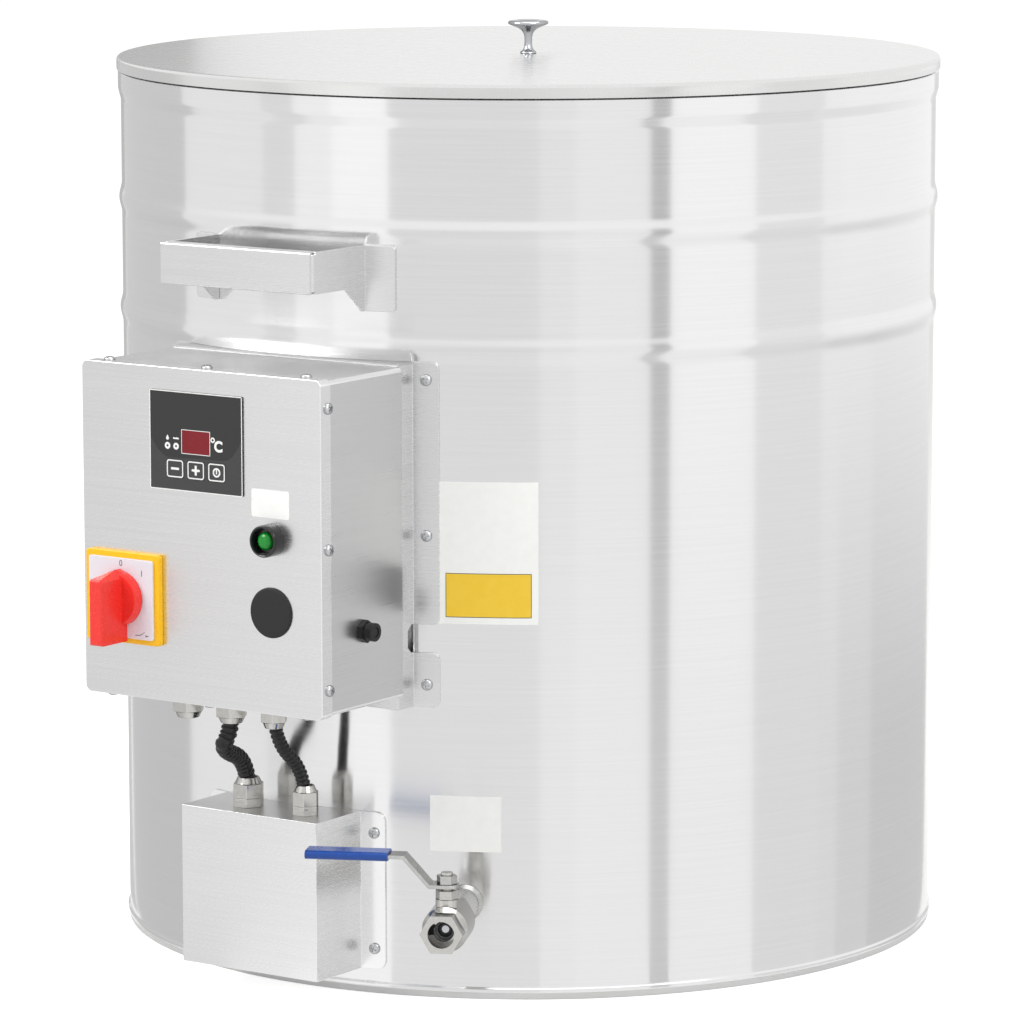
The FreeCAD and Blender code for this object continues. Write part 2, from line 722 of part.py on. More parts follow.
def filler_plug():
    plug = Piece("filler_plug")
    thread_length = S.filler_head * 2
    plug.pad("XY", 0, S.filler_head, [hexagon(0, 0, S.filler_hex)])
    plug.pad("XY", -thread_length, thread_length, [circle(0, 0, S.filler_thread)])
    plug.place(0, (S.shell_radius - S.filler_in), deck_top)


# Lid

def lid():
    panel = Piece("lid_panel")
    top = neck_top_z + S.lid_sheet
    foot = top - S.lid_skirt
    inside = lid_radius - S.lid_sheet
    panel.spin([[
        (0, neck_top_z),
        (inside, neck_top_z),
        (inside, foot),
        (lid_radius, foot),
        (lid_radius, top - S.lid_edge),
        (lid_radius - S.lid_edge, top),
        (0, top),
    ]])
    panel.cut("XY", neck_top_z, S.lid_sheet, [circle(0, 0, S.knob_screw + S.fit_gap)])

    knob = Piece("lid_knob")
    brim_z = S.knob_height - S.knob_brim
    rim = S.knob_head - S.knob_edge
    knob.spin([[
        (0, 0),
        (S.knob_foot, 0),
        (S.knob_foot, S.knob_foot_height),
        (S.knob_waist, S.knob_waist_z),
        (S.knob_waist, S.knob_flare_z),
        (S.knob_head / 2, (S.knob_flare_z + brim_z * 2) / 3),
        (rim, brim_z),
        (S.knob_head, brim_z + S.knob_edge),
        (rim, S.knob_height),
        (0, S.knob_height),
    ]])
    knob.cut("XY", 0, S.knob_screw_length, [circle(0, 0, S.knob_screw + 0.01)])
    knob.place(0, 0, top)

    screw = Piece("lid_knob_screw")
    screw.pad("XY", -S.knob_screw_head_height, S.knob_screw_head_height, [circle(0, 0, S.knob_screw_head)])
    screw.pad("XY", 0, S.knob_screw_length, [circle(0, 0, S.knob_screw)])
    screw.place(0, 0, neck_top_z)


# Handles

def handle(side, rotation):
    """A folded strap with flared feet on the shell, and a channel over its front as the grip."""
    arm_outside = S.handle_width / 2
    arm_inside = arm_outside - S.handle_sheet
    foot_outside = arm_outside + S.handle_foot
    foot_top = flange_foot + S.handle_sheet
    web_front = handle_front - S.grip_sheet
    web_back = web_front - S.handle_sheet
    bend = S.handle_sheet * 1.5
    scale = foot_top / flange_foot
    far_y = drop(flange_foot, foot_outside)

    strap = Piece(side + "_handle_strap")
    foot_z = grip_low - S.foot_drop
    strap.pad("XY", foot_z, grip_top - foot_z, [[
        (-foot_outside, -far_y, -flange_foot),
        (-foot_outside * scale, -far_y * scale),
        (-arm_outside, -drop(foot_top, arm_outside), foot_top),
        (-arm_outside, bend - web_front),
        (bend - arm_outside, -web_front, bend),
        (arm_outside - bend, -web_front),
        (arm_outside, bend - web_front, bend),
        (arm_outside, -drop(foot_top, arm_outside)),
        (foot_outside * scale, -far_y * scale, foot_top),
        (foot_outside, -far_y),
        (arm_inside, -drop(flange_foot, arm_inside), -flange_foot),
        (arm_inside, -web_back),
        (-arm_inside, -web_back),
        (-arm_inside, -drop(flange_foot, arm_inside)),
    ]])
    web_low = grip_low + S.grip_sheet + S.fit_gap
    web_high = grip_top - S.grip_sheet - S.fit_gap
    shelf = web_back - bend
    flare_end = S.shell_radius - bend
    strap.cut("YZ", -foot_outside - 5, foot_outside * 2 + 10, [
        [
            (-flare_end, foot_z - 1),
            (-(S.shell_radius + S.flare_out), grip_low),
            (-shelf, grip_low),
            (-shelf, web_low),
            (-handle_front, web_low),
            (-handle_front, foot_z - 1),
        ],
        [
            (-shelf, web_high),
            (-shelf, grip_top + 1),
            (-handle_front, grip_top + 1),
            (-handle_front, web_high),
        ],
    ])
    strap.soften("Fillet", S.handle_sheet * 1.5, lambda edge: foot_corner(edge, foot_outside.value))
    strap.place(rotation=rotation)

    grip = Piece(side + "_handle_grip")
    lip_half = arm_inside - S.handle_sheet / 4
    grip.pad("YZ", -arm_outside + 0.5, S.handle_width - 1, [[
        (-handle_front, grip_low),
        (-handle_front + S.grip_lip, grip_low),
        (-handle_front + S.grip_lip, grip_low + S.grip_sheet),
        (-web_front, grip_low + S.grip_sheet),
        (-web_front, grip_top - S.grip_sheet),
        (-handle_front + S.grip_lip, grip_top - S.grip_sheet),
        (-handle_front + S.grip_lip, grip_top),
        (-handle_front, grip_top),
    ]])
    front = -handle_front.value
    grip.soften("Fillet", S.grip_sheet * 0.9, lambda edge: (
        edge.Length > 50 and abs(edge.BoundBox.YMin - front) < 0.01 and edge.BoundBox.YLength < 0.01))
    for end in (-1, 1):
        middle = end * (lip_half + S.handle_sheet * 2)
        grip.cut("XY", grip_low - 1, S.grip_height + 2, [
            rectangle(middle, -web_front + S.grip_lip, S.handle_sheet * 4, S.grip_lip * 2),
        ])
    grip.place(rotation=rotation)


def foot_corner(edge, reach):
    """The short edges through the sheet at the outer corners of a foot or flange."""
    middle = edge.BoundBox.Center
    flat = edge.BoundBox.ZLength < 0.01
    return flat and edge.Length < 5 and abs(middle.x) > reach - 1


# Control box

def hat_outline(half, back, sheet, flange):
    """Plan of a sheet folded into a hat, its flanges curved to the shell."""
    inner = half - sheet
    tip = half + flange
    top = flange_foot + sheet
    scale = top / flange_foot
    tip_y = drop(flange_foot, tip)
    return [
        (-tip, -tip_y, -flange_foot),
        (-tip * scale, -tip_y * scale),
        (-half, -drop(top, half), top),
        (-half, -back),
        (half, -back),
        (half, -drop(top, half)),
        (tip * scale, -tip_y * scale, top),
        (tip, -tip_y),
        (inner, -drop(flange_foot, inner), -flange_foot),
        (inner, sheet - back),
        (-inner, sheet - back),
        (-inner, -drop(flange_foot, inner)),
    ]


def box_bracket():
    bracket = Piece("box_bracket")
    half = S.bracket_width / 2
    low = S.box_low_z - S.bracket_below
    height = S.box_height + S.bracket_below + S.bracket_above
    bracket.pad("XY", low, height, [hat_outline(half, box_back, S.bracket_sheet, S.bracket_flange)])
    leg_foot = drop(flange_foot, half)
    chamfer = S.notch_slope
    near = leg_foot - S.bracket_flange
    deep = leg_foot + S.notch_depth
    low_z = S.notch_z - S.notch_height / 2
    high_z = S.notch_z + S.notch_height / 2
    bracket.cut("YZ", half - S.bracket_sheet * 2, S.bracket_flange * 2, [[
        (-near, low_z),
        (chamfer - deep, low_z),
        (-deep, low_z + chamfer),
        (-deep, high_z - chamfer),
        (chamfer - deep, high_z),
        (-near, high_z),
    ]])
    bracket.soften("Fillet", S.box_corner, lambda edge: foot_corner(edge, half.value + S.bracket_flange.value))


def box_size(inset):
    return S.box_width - inset * 2, S.box_height - inset * 2


def box_body():
    box = Piece("box_body")
    outer = S.box_sheet + S.fit_gap
    width, height = box_size(outer)
    depth = S.box_depth - S.box_sheet
    box.pad("XZ", box_back, depth, [rectangle(as_size(0), box_middle_z, width, height, S.box_corner - outer)])
    width, height = box_size(outer + S.box_sheet)
    box.cut("XZ", box_back + S.box_sheet, depth, [
        rectangle(as_size(0), box_middle_z, width, height, S.box_corner - outer - S.box_sheet),
    ])
    big = S.big_gland_thread + S.fit_gap
    small = S.small_gland_thread + S.fit_gap
    box.cut("XY", S.box_low_z, S.box_corner, [
        circle(S.inlet_x, -gland_line, big),
        circle(S.heater_gland_x, -gland_line, big),
        circle(S.probe_gland_x, -gland_line, small),
    ])
    box.cut("YZ", S.box_width / 2 - S.box_corner, S.box_corner, [
        circle(-reset_line, S.reset_z, S.reset_thread + S.fit_gap),
    ])


def box_cover():
    cover = Piece("box_cover")
    back = box_front - S.cover_lip
    middle = as_size(0)
    cover.pad("XZ", back, S.cover_lip, [
        rectangle(middle, box_middle_z, S.box_width, S.box_height, S.box_corner),
    ])
    width, height = box_size(S.box_sheet)
    cover.cut("XZ", back, S.cover_lip - S.box_sheet, [
        rectangle(middle, box_middle_z, width, height, S.box_corner - S.box_sheet),
    ])
    cover.cut("XZ", back, S.cover_lip, [
        rectangle(S.foil_x, S.foil_z, S.case_width + S.case_gap * 2, S.case_height + S.case_gap * 2),
        circle(S.side_x, S.lamp_z, S.lamp_thread + S.fit_gap),
        circle(S.side_x, S.plug_z, S.plug_hole),
        circle(S.switch_x, S.switch_z, S.shaft_radius + 1),
    ])


def pan_screw():
    screw = Piece("pan_screw", exported=False)
    screw.pad("XY", 0, S.screw_head_height, [circle(0, 0, S.screw_head)])
    return screw


def screws():
    screw = pan_screw()
    vector = FreeCAD.Vector
    upward = vector(0, 0, 1)
    along = S.cover_screw_in.value - box_front.value
    half_width = S.box_width.value / 2
    middle = box_middle_z.value
    places = []
    for step in (-1, 0, 1):
        for side in (-1, 1):
            rise = middle + step * S.cover_screw_rise.value
            facing = FreeCAD.Rotation(upward, vector(side, 0, 0))
            places.append(FreeCAD.Placement(vector(side * half_width, along, rise), facing))
            facing = FreeCAD.Rotation(upward, vector(0, 0, side))
            spot = vector(step * S.cover_screw_run.value, along, middle + side * S.box_height.value / 2)
            places.append(FreeCAD.Placement(spot, facing))
    copies("cover_screws", [(screw, place) for place in places])
    for label, angle, heights, sheet in (
            ("bracket_screws", bracket_screw_angle(), bracket_screw_heights(), S.bracket_sheet),
            ("heater_box_screws", heater_screw_angle(), heater_screw_heights(), S.heater_box_sheet)):
        places = []
        for side in (-1, 1):
            outward = turned_by(side * angle.value).multVec(vector(0, -1, 0))
            facing = FreeCAD.Rotation(upward, outward)
            reach = flange_foot.value + sheet.value
            for height in heights:
                spot = outward * reach + vector(0, 0, height.value)
                places.append(FreeCAD.Placement(spot, facing))
        copies(label, [(screw, place) for place in places])


def key_places():
    return [("key_minus", S.foil_x - S.key_pitch), ("key_plus", S.foil_x), ("key_power", S.foil_x + S.key_pitch)]


def controller():
    key_z = S.foil_z - S.key_drop
    pocket = S.key_travel + S.fit_gap + (S.foil_thick + S.key_proud) * 0.4
    key_back = box_front - (pocket - S.key_travel - S.fit_gap)
    case = Piece("controller_case")
    case.pad("XZ", box_front - S.case_depth, S.case_depth, [
        rectangle(S.foil_x, S.foil_z, S.case_width, S.case_height),
    ])
    roomy_width = S.key_width + S.key_gap * 2
    roomy_height = S.key_height + S.key_gap * 2
    case.cut("XZ", box_front - pocket, pocket, [
        rectangle(x, key_z, roomy_width, roomy_height) for label, x in key_places()
    ])

    foil = Piece("controller_foil")
    foil.pad("XZ", box_front, S.foil_thick, [
        rectangle(S.foil_x, S.foil_z, S.foil_width, S.foil_height, S.foil_corner),
    ])
    corner = S.key_corner + S.key_gap
    windows = [rectangle(x, key_z, roomy_width, roomy_height, corner) for label, x in key_places()]
    windows.append(rectangle(S.foil_x, S.foil_z, S.display_width + S.fit_gap, S.display_height + S.fit_gap))
    foil.cut("XZ", box_front, S.foil_thick, windows)

    window = Piece("display_window")
    window.pad("XZ", box_front, S.foil_thick, [
        rectangle(S.foil_x, S.foil_z, S.display_width - S.fit_gap, S.display_height - S.fit_gap),
    ])

    for label, x in key_places():
        key = Piece(label)
        key.pad("XZ", key_back, box_front + S.foil_thick + S.key_proud - key_back, [
            rectangle(x, key_z, S.key_width, S.key_height, S.key_corner),
        ])


def lamp():
    """A bezel with a deep cup, the lens standing on the cup's floor, and a nut behind the cover."""
    bezel = Piece("lamp_bezel")
    cup = S.lamp_reach - S.lamp_recess
    cup_radius = S.lamp_radius - S.lamp_wall
    bezel.spin([[
        (0, -S.lamp_length),
        (S.lamp_thread, -S.lamp_length),
        (S.lamp_thread, 0),
        (S.lamp_radius, 0),
        (S.lamp_radius, S.lamp_reach - S.lamp_edge),
        (S.lamp_radius - S.lamp_edge, S.lamp_reach),
        (cup_radius, S.lamp_reach),
        (cup_radius, cup),
        (0, cup),
    ]])
    bezel.place(S.side_x, -box_front, S.lamp_z, FACING_FRONT)

    lens = Piece("lamp_lens")
    lens.spin([[
        (0, 0),
        (S.lamp_lens, 0),
        (S.lamp_lens, S.lamp_recess * 0.4),
        (S.lamp_lens * 0.6, S.lamp_recess * 0.8),
        (0, S.lamp_recess * 0.9),
    ]])
    lens.place(S.side_x, cup * -1 - box_front, S.lamp_z, FACING_FRONT)

    nut = Piece("lamp_nut")
    nut.pad("XZ", 0, S.locknut_thick, [
        hexagon(as_size(0), as_size(0), S.lamp_thread * 2.6),
        circle(0, 0, S.lamp_thread + S.fit_gap),
    ])
    nut.place(S.side_x, S.box_sheet + S.locknut_thick - box_front, S.lamp_z)


def blanking_plug():
    plug = Piece("blanking_plug")
    plug.pad("XY", 0, S.plug_thick, [circle(0, 0, S.plug_radius)])
    plug.pad("XY", -S.plug_depth, S.plug_depth, [circle(0, 0, S.plug_hole - S.fit_gap * 2)])
    plug.place(S.side_x, -box_front, S.plug_z, FACING_FRONT)


def main_switch():
    plate_front = box_front + S.switch_plate
    face_front = plate_front + S.switch_face_thick
    middle = as_size(0)
    plate = Piece("switch_plate")
    plate.pad("XZ", 0, S.switch_plate, [
        rectangle(middle, middle, S.switch_square, S.switch_square, as_size(2.5)),
        circle(0, 0, S.shaft_radius + S.running_gap),
    ])
    plate.place(S.switch_x, -box_front, S.switch_z)

    face = Piece("switch_face")
    face.pad("XZ", 0, S.switch_face_thick, [
        rectangle(middle, middle, S.switch_face, S.switch_face, as_size(2)),
        circle(0, 0, S.shaft_radius + 1),
    ])
    face.place(S.switch_x, -plate_front, S.switch_z)

    housing = Piece("switch_body")
    side = S.switch_square * 0.75
    housing.pad("XZ", 0, S.switch_depth, [rectangle(middle, middle, side, side, as_size(3))])
    housing.cut("XZ", S.switch_depth - S.shaft_radius * 3, S.shaft_radius * 3, [
        circle(0, 0, S.shaft_radius + S.running_gap),
    ])
    housing.place(S.switch_x, S.switch_depth + S.box_sheet - box_front, S.switch_z)

    knob_back = face_front + S.knob_float
    shaft = Piece("switch_shaft")
    shaft_end = box_front - S.box_sheet - S.shaft_radius * 2.5
    shaft.pad("XZ", 0, knob_back - shaft_end, [circle(0, 0, S.shaft_radius)])
    shaft.place(S.switch_x, -shaft_end, S.switch_z)

    switch_knob(knob_back)


def switch_knob(knob_back):
    """A thin dial drawn out to a point at its top, with a tall bar across it that leans back above."""
    knob = Piece("switch_knob")
    half = S.bar_width / 2
    reach = S.dial_radius
    tip = S.bar_up
    touch_z = reach * reach / tip
    touch_x = root(reach * reach - touch_z * touch_z)
    knob.pad("XZ", 0, S.dial_thick, [[
        (-touch_x, touch_z),
        (-reach, 0, reach),
        (0, -reach, reach),
        (reach, 0, reach),
        (touch_x, touch_z, reach),
        (0, tip),
    ]])
    knob.soften("Chamfer", S.dial_bevel, lambda edge: edge.BoundBox.YMax < -1)
    knob.pad("XZ", 0, S.bar_reach, [[
        (-half, -S.bar_down),
        (half, -S.bar_down),
        (half, tip - half),
        (0, tip),
        (-half, tip - half),
    ]])
    knob.cut("YZ", -reach, reach * 2, [[
        (-S.dial_thick, tip + 1),
        (-S.dial_thick, tip),
        (-S.bar_reach - 1, tip - S.bar_lean),
        (-S.bar_reach - 1, tip + 1),
    ]])
    front = S.bar_reach.value
    knob.soften("Chamfer", S.bar_bevel, lambda edge: abs(edge.BoundBox.YMax + front) < 0.01)
    knob.place(S.switch_x, -knob_back, S.switch_z)


def reset_control():
    wall = S.box_width / 2 - S.box_sheet - S.fit_gap
    bushing = Piece("reset_bushing")
    bushing.pad("XY", 0, S.reset_nut, [hexagon(as_size(0), as_size(0), S.reset_hex)])
    bushing.pad("XY", -S.reset_thread, S.reset_reach + S.reset_thread, [circle(0, 0, S.reset_thread)])
    bushing.pad("XY", S.reset_nut, S.reset_reach - S.reset_nut, [circle(0, 0, S.reset_radius)])
    bore_floor = S.reset_reach - S.reset_travel * 4
    bushing.cut("XY", bore_floor, S.reset_travel * 4, [circle(0, 0, S.reset_button + S.running_gap)])
    bushing.place(wall, -reset_line, S.reset_z, FACING_RIGHT)

    button = Piece("reset_button")
    rest = bore_floor + S.reset_travel + S.fit_gap
    button.pad("XY", 0, S.reset_reach - 0.6 - rest, [circle(0, 0, S.reset_button)])
    button.place(wall + rest, -reset_line, S.reset_z, FACING_RIGHT)

    thermostat = Piece("thermostat_body")
    thermostat.pad("XY", 0, S.thermostat_length, [circle(0, 0, S.thermostat_radius)])
    thermostat.place(wall - S.reset_thread - S.thermostat_length, -reset_line, S.reset_z, FACING_RIGHT)


def box_contents():
    middle = as_size(0)
    mounting = box_back + S.box_sheet
    relay = Piece("relay_block")
    relay.pad("XZ", 0, S.relay_depth, [rectangle(middle, middle, S.relay_width, S.relay_height)])
    recess_height = S.relay_recess + 1
    rise = (S.relay_height - recess_height) / 2 - S.relay_recess / 2
    relay.cut("XZ", S.relay_depth - S.relay_recess, S.relay_recess, [
        rectangle(middle, rise * side, S.relay_width - S.relay_recess, recess_height) for side in (-1, 1)
    ])
    relay.place(S.relay_x, -mounting, S.relay_z)

    block = Piece("terminal_block")
    length = S.terminal_pitch * S.terminal_ways
    well = S.terminal_depth / 3
    block.pad("XZ", 0, S.terminal_depth, [rectangle(middle, middle, length, S.terminal_height)])
    way = block.cut("XZ", S.terminal_depth - well, well, [
        rectangle((S.terminal_pitch - length) / 2, middle, S.terminal_pitch * 0.7, S.terminal_height * 0.6),
    ])
    pattern = block.body.newObject("PartDesign::LinearPattern", "terminal_block_ways")
    pattern.Originals = [way]
    pattern.Direction = (way.Profile[0], ["H_Axis"])
    bind(pattern, "Length", length - S.terminal_pitch)
    pattern.Occurrences = int(S.terminal_ways.value)
    block.settle(pattern)
    block.place(S.terminal_x, -mounting, S.terminal_z)


# Glands

def gland_set(kind, hexagon_size, thread, hose):
    """Templates of a gland body, its cap and its locknut, seated on a wall at z = 0 and pointing up."""
    body = Piece(kind + "_gland_body", exported=False)
    body.pad("XY", 0, S.gland_hex_height, [hexagon(as_size(0), as_size(0), hexagon_size)])
    body.pad("XY", -S.gland_thread_length, S.gland_thread_length + 1, [circle(0, 0, thread)])
    body.cut("XY", -S.gland_thread_length - 1, S.gland_thread_length + S.gland_hex_height + 2, [
        circle(0, 0, thread - S.gland_wall * 2),
    ])

    cap = Piece(kind + "_gland_cap", exported=False)
    mouth = hose + S.fit_gap * 2
    cap.pad("XY", 0, S.gland_cap_skirt, [hexagon(as_size(0), as_size(0), hexagon_size)])
    cap.spin([[
        (mouth, 0),
        (hexagon_size / 2 - 0.3, 0),
        (hexagon_size / 2 - 0.3, S.gland_cap_skirt),
        (mouth + S.gland_lip, S.gland_cap_height),
        (mouth, S.gland_cap_height),
    ]])
    cap.cut("XY", -1, S.gland_cap_height + 2, [circle(0, 0, mouth)])

    nut = Piece(kind + "_gland_nut", exported=False)
    nut.pad("XY", 0, S.locknut_thick, [
        hexagon(as_size(0), as_size(0), hexagon_size),
        circle(0, 0, thread + S.fit_gap),
    ])
    return body, cap, nut


def glands():
    big = gland_set("big", S.big_gland_hex, S.big_gland_thread, S.heater_hose_radius)
    small = gland_set("small", S.small_gland_hex, S.small_gland_thread, S.probe_hose_radius)
    down = FACING_DOWN
    up = FreeCAD.Rotation()
    box_floor = (S.box_low_z + S.box_sheet + S.fit_gap).value
    lid_level = heater_box_top.value
    upper = [
        (big, S.inlet_x.value, -gland_line.value),
        (big, S.heater_gland_x.value, -gland_line.value),
        (small, S.probe_gland_x.value, -gland_line.value),
    ]
    lower = [
        (big, S.heater_low_x.value, -heater_low_line.value),
        (small, S.probe_low_x.value, -probe_low_line.value),
    ]
    hex_height = S.gland_hex_height.value
    nut_thick = S.locknut_thick.value

    def at(entries, part, height, rotation):
        return [(sets[part], FreeCAD.Placement(FreeCAD.Vector(x, y, height), rotation))
                for sets, x, y in entries]

    copies("gland_bodies", at(upper, 0, box_floor, down) + at(lower, 0, lid_level, up))
    caps = at(upper, 1, box_floor - hex_height, down) + at(lower, 1, lid_level + hex_height, up)
    copies("gland_caps", caps)
    upper_nuts = at(upper, 2, box_floor + S.box_sheet.value, up)
    lower_nuts = at(lower, 2, lid_level - S.heater_box_sheet.value - nut_thick, up)
    copies("gland_locknuts", upper_nuts + lower_nuts)


# Ribbed hoses

def rounded_route(points, radii):
    """Straight runs joined by tangent arcs, as a list of edges."""
    edges = []
    here = points[0]
    for index, radius in enumerate(radii, start=1):
        corner = points[index]
        arriving = (corner - points[index - 1]).normalize()
        leaving = (points[index + 1] - corner).normalize()
        turn = arriving.getAngle(leaving)
        trim = radius * math.tan(turn / 2)
        start = corner - arriving * trim
        end = corner + leaving * trim
        inward = (leaving - arriving).normalize()
        centre = corner + inward * (radius / math.cos(turn / 2))
        middle = centre - inward * radius
        if (start - here).dot(arriving) <= 0:
            raise RuntimeError("a hose bend is too wide for its run")
        edges.append(Part.LineSegment(here, start).toShape())
        edges.append(Part.Arc(start, middle, end).toShape())
        here = end
    edges.append(Part.LineSegment(here, points[-1]).toShape())
    return edges


def frame_at(edges, distance):
    """Point and direction at a distance along the route."""
    for edge in edges:
        if distance <= edge.Length:
            parameter = edge.getParameterByLength(distance)
            return edge.valueAt(parameter), edge.tangentAt(parameter)
        distance -= edge.Length
    last = edges[-1]
    return last.valueAt(last.LastParameter), last.tangentAt(last.LastParameter)


def ring(point, direction, radius, steady):
    """Circle square to the route whose seam always faces the steady direction."""
    seam = (steady - direction * steady.dot(direction)).normalize()
    across = direction.cross(seam)
    spot = FreeCAD.Placement(point, FreeCAD.Rotation(seam, across, direction, "ZXY"))
    edge = Part.makeCircle(radius)
    edge.Placement = spot
    return Part.Wire([edge])


def ribbed_hose(label, points, radii, crest, pitch):
    """Corrugated hose: plain ends inside the glands, four rings to each rib between them."""
    edges = rounded_route(points, radii)
    length = sum(edge.Length for edge in edges)
    plain = S.gland_cap_height.value - 1
    count = int((length - plain * 2) / pitch)
    spacing = (length - plain * 2) / count
    groove = crest - S.rib_depth.value
    steady = FreeCAD.Vector(1, 0, 0)
    stations = [(0, groove)]
    for index in range(count):
        start = plain + index * spacing
        for share, radius in ((0.1, groove), (0.35, crest), (0.65, crest), (0.9, groove)):
            stations.append((start + share * spacing, radius))
    stations.append((length, groove))
    rings = [ring(*frame_at(edges, distance), radius, steady) for distance, radius in stations]
    outside = Part.makeLoft(rings, True, True)
    bore = groove - S.hose_wall.value
    bends = [0]
    for edge in edges:
        steps = 4 if edge.Curve.TypeId == "Part::GeomCircle" else 1
        start = bends[-1]
        bends += [start + edge.Length * (step + 1) / steps for step in range(steps)]
    hollow = [ring(*frame_at(edges, min(distance, length)), bore, steady) for distance in bends]
    inside = Part.makeLoft(hollow, True, True)
    hose = outside.cut(inside)
    feature = doc.addObject("Part::Feature", label)
    feature.Label = label
    feature.Shape = hose
    NODES.append(feature)
    bends_text = ", ".join("%.1f" % radius for radius in radii)
    print("%s: length %.1f mm, %d ribs, bend radii %s mm" % (label, length, count, bends_text))


def hoses():
    top = (S.box_low_z + S.box_sheet + S.fit_gap - S.gland_hex_height).value
    foot = (heater_box_top + S.gland_hex_height).value
    vector = FreeCAD.Vector
    fall = top - foot
    x, y = S.heater_gland_x.value, -gland_line.value
    end_x, end_y = S.heater_low_x.value, -heater_low_line.value
    ribbed_hose("heater_hose", [
        vector(x, y, top),
        vector(x, y, top - fall * 0.28),
        vector(x - 7, y - 5, top - fall * 0.46),
        vector(end_x, end_y, foot + fall * 0.36),
        vector(end_x, end_y, foot),
    ], [fall * 0.2, fall * 0.13, fall * 0.17], S.heater_hose_radius.value, S.heater_rib_pitch.value)
    x = S.probe_gland_x.value
    end_x, end_y = S.probe_low_x.value, -probe_low_line.value
    ribbed_hose("probe_hose", [
        vector(x, y, top),
        vector(x, y, top - fall * 0.33),
        vector(end_x, end_y, foot + fall * 0.33),
        vector(end_x, end_y, foot),
    ], [fall * 0.27, fall * 0.27], S.probe_hose_radius.value, S.probe_rib_pitch.value)


# Heater box and heater

def heater_box():
    box = Piece("heater_box")
    half = S.heater_box_width / 2
    sheet = S.heater_box_sheet
    inner = half - sheet
    tip = half + S.heater_flange
    top = flange_foot + sheet
    scale = top / flange_foot
    tip_y = drop(flange_foot, tip)
    box.pad("XY", S.heater_box_low_z, S.heater_box_height, [[
        (-tip, -tip_y, -flange_foot),
        (-tip * scale, -tip_y * scale),
        (-half, -drop(top, half), top),
        (-half, -heater_box_front),
        (half, -heater_box_front),
        (half, -drop(top, half)),
        (tip * scale, -tip_y * scale, top),
        (tip, -tip_y),
    ]])
    behind = S.shell_radius - S.heater_flange
    box.cut("XY", S.heater_box_low_z + sheet, S.heater_box_height - sheet * 2, [[
        (-inner, -behind),
        (-inner, sheet - heater_box_front),
        (inner, sheet - heater_box_front),
        (inner, -behind),
    ]])
    box.cut("XY", heater_box_top - sheet * 2, sheet * 3, [
        circle(S.heater_low_x, -heater_low_line, S.big_gland_thread + S.fit_gap),
        circle(S.probe_low_x, -probe_low_line, S.small_gland_thread + S.fit_gap),
    ])
    box.soften("Fillet", S.heater_flange_corner, lambda edge: foot_corner(edge, tip.value))


def heater():
    boss_front = S.shell_radius + S.boss_out
    boss = Piece("heater_boss")
    boss.pad("XZ", S.shell_radius - S.boss_in, S.boss_out + S.boss_in, [
        circle(0, S.heater_z, S.heater_thread + S.boss_wall),
        circle(0, S.heater_z, S.heater_thread + S.fit_gap),
    ])

    plug = Piece("heater_plug")
    thread_end = boss_front - S.heater_thread_length
    plug.pad("XZ", boss_front, S.heater_hex_height, [hexagon(as_size(0), S.heater_z, S.heater_hex)])
    plug.pad("XZ", thread_end, S.heater_thread_length, [circle(0, S.heater_z, S.heater_thread)])

    heating_element(thread_end)

    pocket = Piece("probe_pocket")
    pocket.spin([[
        (0, -S.probe_depth),
        (S.probe_radius, -S.probe_depth),
        (S.probe_radius, S.pan_out),
        (S.probe_radius * 2, S.pan_out),
        (S.probe_radius * 2, S.probe_head),
        (0, S.probe_head),
    ]])
    pocket.place(S.probe_x, -S.shell_radius, S.probe_z, FACING_FRONT)


def heating_element(thread_end):
    """A hairpin that reaches back under the wax vessel from a disc on the end of the plug's thread."""
    element = Piece("heater_element")
    disc = S.element_radius
    start = thread_end - disc
    element.pad("XZ", start, disc, [circle(0, S.heater_z, S.heater_thread - 1)])
    low = S.heater_z - S.element_spacing / 2
    bend = S.element_spacing.value / 2
    straight = S.element_reach.value - bend
    near, far = -start.value, straight - start.value
    path = element.body.newObject("Sketcher::SketchObject", "element_path")
    support = [item for item in element.body.Origin.OriginFeatures if item.Role == "YZ_Plane"][0]
    path.AttachmentSupport = [(support, "")]
    path.MapMode = "FlatFace"
    low_z, high_z = low.value, low.value + bend * 2
    vector = FreeCAD.Vector
    path.addGeometry(Part.LineSegment(vector(near, low_z, 0), vector(far, low_z, 0)))
    turn = Part.Circle(vector(far, low_z + bend, 0), vector(0, 0, 1), bend)
    path.addGeometry(Part.ArcOfCircle(turn, -math.pi / 2, math.pi / 2))
    path.addGeometry(Part.LineSegment(vector(far, high_z, 0), vector(near, high_z, 0)))
    section = element.sketch("XZ", start, [circle(0, low, S.element_radius)])
    pipe = element.feature("AdditivePipe", section)
    pipe.Spine = (path, ["Edge1", "Edge2", "Edge3"])
    element.settle(pipe)


# Drain valve

def valve_rotation():
    return turned_by(S.valve_angle.value).multiply(FACING_FRONT)


def place_on_valve(piece):
    """Stand a turned piece on the tank's axis with its own axis along the valve."""
    piece.place(0, 0, S.valve_z, valve_rotation())


